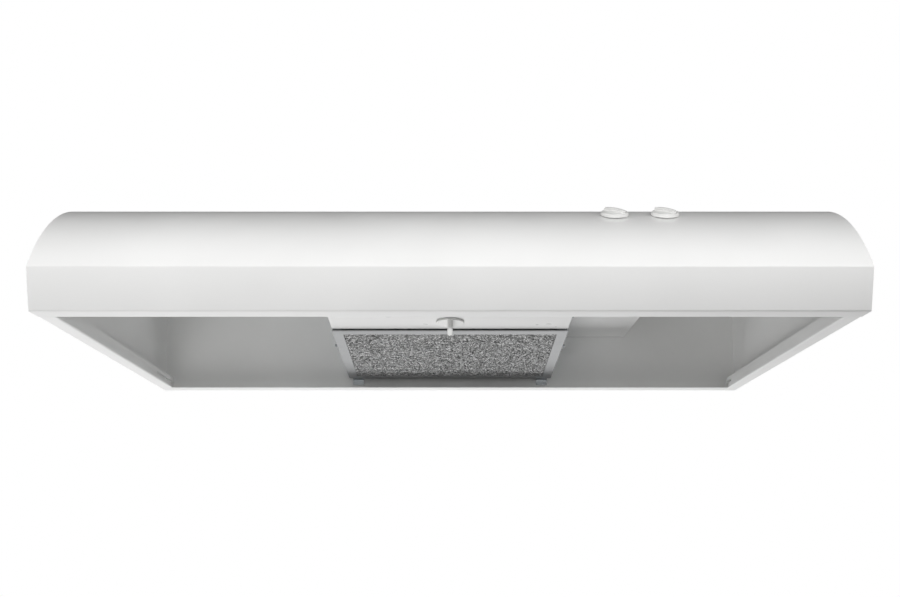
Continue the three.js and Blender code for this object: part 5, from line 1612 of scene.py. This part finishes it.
@dataclass
class Wiring:
    """The wiring box, its bushing and what is in it, and the leads.

    Attributes:
        lead_radius: a lead's radius.
        routes: the chosen points of each lead, on the bench.
    """

    shop: Paintshop
    lead_radius: float = 3.0
    routes: dict[str, list[list[float]]] = field(default_factory=lambda: {
        "fan_lead": [[159.5, 91.4, 91.4], [159.5, 96, 82.9], [159.5, 130, 88.9], [159.5, 170, 95],
                     [161.5, 265.8, 117], [163.5, 331.7, 117], [163.5, 377.7, 117]],
        "light_lead": [[208.5, 91.4, 91.4], [208.5, 96, 82.9], [208.5, 130, 88.9], [208.5, 170, 95],
                       [201, 265.8, 117], [193.5, 331.7, 117], [193.5, 377.7, 117]],
        "motor_lead": [[34.6, 339.5, 128.9], [64, 339.5, 128.9], [84, 340.5, 128.9], [109.5, 367.7, 128.9],
                       [125.5, 369.7, 128.9], [149.5, 369.7, 128.9]],
        "lamp_lead": [[124.5, 221.8, 74.5], [135.5, 221.8, 74.5], [145.5, 230.8, 76.5], [145.5, 288.7, 113],
                      [145.5, 333.7, 117], [145.5, 369.7, 117]],
    })

    def build(self) -> None:
        """Makes and dresses the box, the bushing, the capacitor, the screws and the leads."""
        self.cover()
        self.bushing()
        self.capacitor()
        self.screws()
        for name, route in self.routes.items():
            line = flowing(route)
            self.shop.put(name, f"{name}_sheath", tube(line, self.lead_radius))

    def cover(self) -> None:
        """The wiring box: a deep-drawn tray with round edges, open upwards, holed for each lead."""
        low, high = bench_box("wiring_cover")
        outer = rectangle(low[0], high[0], low[1], high[1], 2.5, 6)
        edge = np.linspace(0, math.pi / 2, 7)
        outside = np.stack([1.8 * (1 - np.sin(edge)), low[2] + 1.8 * (1 - np.cos(edge))], axis=1)
        inside = np.stack([1 + 0.8 * (1 - np.sin(edge)), low[2] + 1 + 0.8 * (1 - np.cos(edge))], axis=1)
        levels = np.concatenate([outside, [[0, high[2]], [1, high[2]]], inside[::-1]])
        rings = [np.column_stack([beside(outer, -d, closed=True), np.full(len(outer), z)]) for d, z in levels]
        changes = []
        for name in ("fan_lead", "light_lead", "lamp_lead"):
            x, _, z = self.routes[name][-1]
            hole = bar(self.lead_radius + 1, low[1] - 3, low[1] + 4, 0, 28).standing((0, 2, 1)).moved(x, 0, z)
            changes.append((Cut.TAKE, hole))
        _, y, z = self.routes["motor_lead"][-1]
        hole = across(bar(self.lead_radius + 1, low[0] - 3, low[0] + 4, 0, 28)).moved(0, y, z)
        changes.append((Cut.TAKE, hole))
        head_low, head_high = bench_box("cover_screw")
        centre = (head_low + head_high) / 2
        changes.append((Cut.TAKE, bar(2.2, low[2] - 2, low[2] + 3, 0, 28).moved(centre[0], centre[1], 0)))
        self.shop.put("wiring_cover", "wiring_tray", lofted(np.array(rings)), changes)

    def bushing(self) -> None:
        """The cable bushing: a collar with a round lip under the sheet."""
        low, high = bench_box("cable_bushing")
        radius, bore = (high[0] - low[0]) / 2 - 3, 8.0
        profile = np.concatenate([
            [[bore + 0.4, high[2]], [radius - 0.3, high[2]], [radius, high[2] - 0.3], [radius, high[2] - 1.3],
             [radius + 2.6, high[2] - 1.3]],
            arc([radius + 2, low[2] + 1], 1, 0, -90, 5), [[bore + 0.4, low[2]], [bore, low[2] + 0.5],
                                                         [bore, high[2] - 0.5]],
        ])
        centre = (low + high) / 2
        collar = turned(profile, 64, wrapped=True).moved(centre[0], centre[1], 0)
        self.shop.put("cable_bushing", "bushing", collar)

    def capacitor(self) -> None:
        """The run capacitor: a drawn can with a rolled seam at its terminal end."""
        low, high = bench_box("run_capacitor")
        radius, length = (high[0] - low[0]) / 2, high[1] - low[1]
        profile = np.concatenate([
            [[0, 0.6], [radius - 3, 0.6], [radius - 2.2, 0]], arc([radius - 1.2, 1.2], 1.2, 270, 360, 6),
            [[radius, 3.2], [radius - 0.6, 4.0], [radius - 0.6, length - 2]],
            arc([radius - 2.6, length - 2], 2, 0, 90, 8), [[0, length]],
        ])
        centre = (low + high) / 2
        shell = turned(profile, 64).standing((0, 2, 1)).moved(centre[0], low[1], centre[2])
        self.shop.put("run_capacitor", "capacitor_can", shell)

    def screws(self) -> None:
        """The pan head screws, each with a cross recess in its domed head."""
        for node, name in (("cover_screw", "tray_screw"), ("motor_screw_left", "left_motor_screw"),
                           ("motor_screw_right", "right_motor_screw")):
            low, high = bench_box(node)
            head_height, head_radius, shank = 2.4, 4, 1.7
            centre, seat = (low + high) / 2, low[2] + head_height
            angle = np.linspace(0, math.pi / 2, 9)
            dome = seat - head_height * np.cos(angle) ** 0.7
            head = np.stack([head_radius * np.sin(angle) ** 0.8, dome], axis=1)
            foot = [[shank, seat], [shank, high[2] - 0.4], [1.3, high[2]], [0, high[2]]]
            profile = np.concatenate([head, foot])
            slots = [box(-x, x, -y, y, low[2] - 1, low[2] + 1.3, 0.05) for x, y in ((2, 0.4), (0.4, 2))]
            changes = [(Cut.TAKE, slot.moved(centre[0], centre[1], 0)) for slot in slots]
            shell = turned(profile, 40).moved(centre[0], centre[1], 0)
            self.shop.put(node, name, shell, changes)


# ---------------------------------------------------------------- studio


@dataclass
class Studio:
    """The pale floor, the soft lights and the camera.

    Attributes:
        eye: the camera's place behind the front crease and above the rim, in millimetres.
        tilt_deg: how far it looks up.
        focal: its focal length on a 36 mm sensor.
        shift: its vertical shift.
        floor_drop: the floor, below the rim.
        diffuse_sky: the room's light on dull surfaces, from below and from above the horizon.
        glossy_sky: its light in glossy ones.
    """

    eye: tuple[float, float] = (-988.9, -218.4)
    tilt_deg: float = 8.416
    focal: float = 45.424
    shift: float = 0.1
    floor_drop: float = 2400
    diffuse_sky: tuple[float, float] = (0.02, 0.33)
    glossy_sky: tuple[float, float] = (1.15, 0.05)

    def build(self) -> None:
        """Makes the camera, the floor, the sky and the lights."""
        scene = bpy.context.scene
        scene.view_settings.view_transform = "Standard"
        scene.view_settings.look = "None"
        self.camera(scene)
        self.floor()
        self.sky(scene)
        self.lights()

    def camera(self, scene: bpy.types.Scene) -> None:
        """The camera, in front of the hood and below its rim, looking up a little."""
        data = bpy.data.cameras.new("camera")
        data.lens, data.sensor_width, data.shift_y = self.focal, 36.0, self.shift
        obj = bpy.data.objects.new("camera", data)
        obj.location = to_row(np.array([0.0, *self.eye])).tolist()
        obj.rotation_euler = (math.radians(90 + self.tilt_deg), 0, 0)
        data.clip_end = 100
        scene.collection.objects.link(obj)
        scene.camera = obj

    def floor(self) -> None:
        """A plain pale floor, far enough below the hood to stay out of its reflections."""
        mesh = bpy.data.meshes.new("floor")
        reach = 30.0
        level = to_row(np.array([0.0, 0.0, -self.floor_drop]))[2]
        corners = [(x * reach, y * reach, level) for x, y in ((-1, -1), (1, -1), (1, 1), (-1, 1))]
        mesh.from_pydata(corners, [], [(0, 1, 2, 3)])
        obj = bpy.data.objects.new("floor", mesh)
        bpy.context.scene.collection.objects.link(obj)
        material = bpy.data.materials.new("pale_floor")
        material.use_nodes = True
        tree = material.node_tree
        tree.nodes.clear()
        glow = add_node(tree, "ShaderNodeEmission", {"Color": linear("#FDFDFD"), "Strength": 1.0})
        add_node(tree, "ShaderNodeOutputMaterial", {"Surface": glow.outputs["Emission"]})
        mesh.materials.append(material)
        obj.visible_diffuse = obj.visible_glossy = obj.visible_transmission = False

    def sky(self, scene: bpy.types.Scene) -> None:
        """A white room to the eye, whose light grows from above to below."""
        world = bpy.data.worlds.new("room")
        scene.world = world
        world.use_nodes = True
        tree = world.node_tree
        tree.nodes.clear()
        place = add_node(tree, "ShaderNodeTexCoord").outputs["Generated"]
        part = add_node(tree, "ShaderNodeSeparateXYZ", {"Vector": place})
        seen = add_node(tree, "ShaderNodeLightPath")
        white = linear("#FFFFFF")

        def graded(below: float, above: float) -> bpy.types.NodeSocket:
            """Light that changes from below to above the horizon."""
            ramp = add_node(tree, "ShaderNodeMapRange", {
                "Value": part.outputs["Z"], "From Min": -0.1, "From Max": 0.1,
                "To Min": below, "To Max": above,
            })
            light = add_node(tree, "ShaderNodeBackground", {
                "Color": white, "Strength": ramp.outputs["Result"],
            })
            return light.outputs["Background"]

        sheen = add_node(tree, "ShaderNodeMixShader", {
            0: seen.outputs["Is Glossy Ray"], 1: graded(*self.diffuse_sky), 2: graded(*self.glossy_sky),
        })
        shown = add_node(tree, "ShaderNodeBackground", {"Color": white, "Strength": 1.0})
        mix = add_node(tree, "ShaderNodeMixShader", {
            0: seen.outputs["Is Camera Ray"], 1: sheen.outputs["Shader"], 2: shown.outputs["Background"],
        })
        add_node(tree, "ShaderNodeOutputWorld", {"Surface": mix.outputs["Shader"]})

    def lights(self) -> None:
        """Soft strips before the crease, broad soft panels below, and one behind for the rear."""
        self.panel("crease_strip", (0, -165, 150), (0, 0, 45), (1250, 130), 1.27)
        self.panel("front_strip", (0, -300, -60), (0, 0, 30), (1250, 160), 0.48)
        self.panel("left_below", (-350, 60, -640), (-100, 250, 0), (500, 800), 2.6)
        self.panel("rear_below", (0, 1100, -700), (0, 250, 0), (1200, 600), 6.4)
        self.panel("rear", (0, 1300, 420), (0, 480, 60), (1200, 500), 2.4)

    def panel(self, name: str, place: Sequence[float], aim: Sequence[float], size: tuple[float, float],
              watts: float) -> None:
        """One rectangular soft light, unseen by the camera.

        Args:
            name: the light's name.
            place: its centre on the bench.
            aim: the bench point it faces.
            size: its width and height in millimetres.
            watts: its power.
        """
        data = bpy.data.lights.new(name, "AREA")
        data.shape, data.size, data.size_y, data.energy = "RECTANGLE", size[0] * MM, size[1] * MM, watts
        obj = bpy.data.objects.new(name, data)
        obj.location = to_row(np.array(place, float)).tolist()
        facing = Vector((np.array(aim, float) - np.array(place, float)).tolist())
        obj.rotation_euler = facing.to_track_quat("-Z", "Y").to_euler()
        obj.visible_camera = obj.visible_glossy = False
        bpy.context.scene.collection.objects.link(obj)


def main() -> None:
    """Builds the studio and the hood, piece by piece."""
    Studio().build()
    shop = Paintshop()
    for assembly in (Casing, Tray, Blower, Damper, Lamp, Controls, Wiring):
        assembly(shop).build()
    shop.finish_rest()


if __name__ == "__main__":
    main()
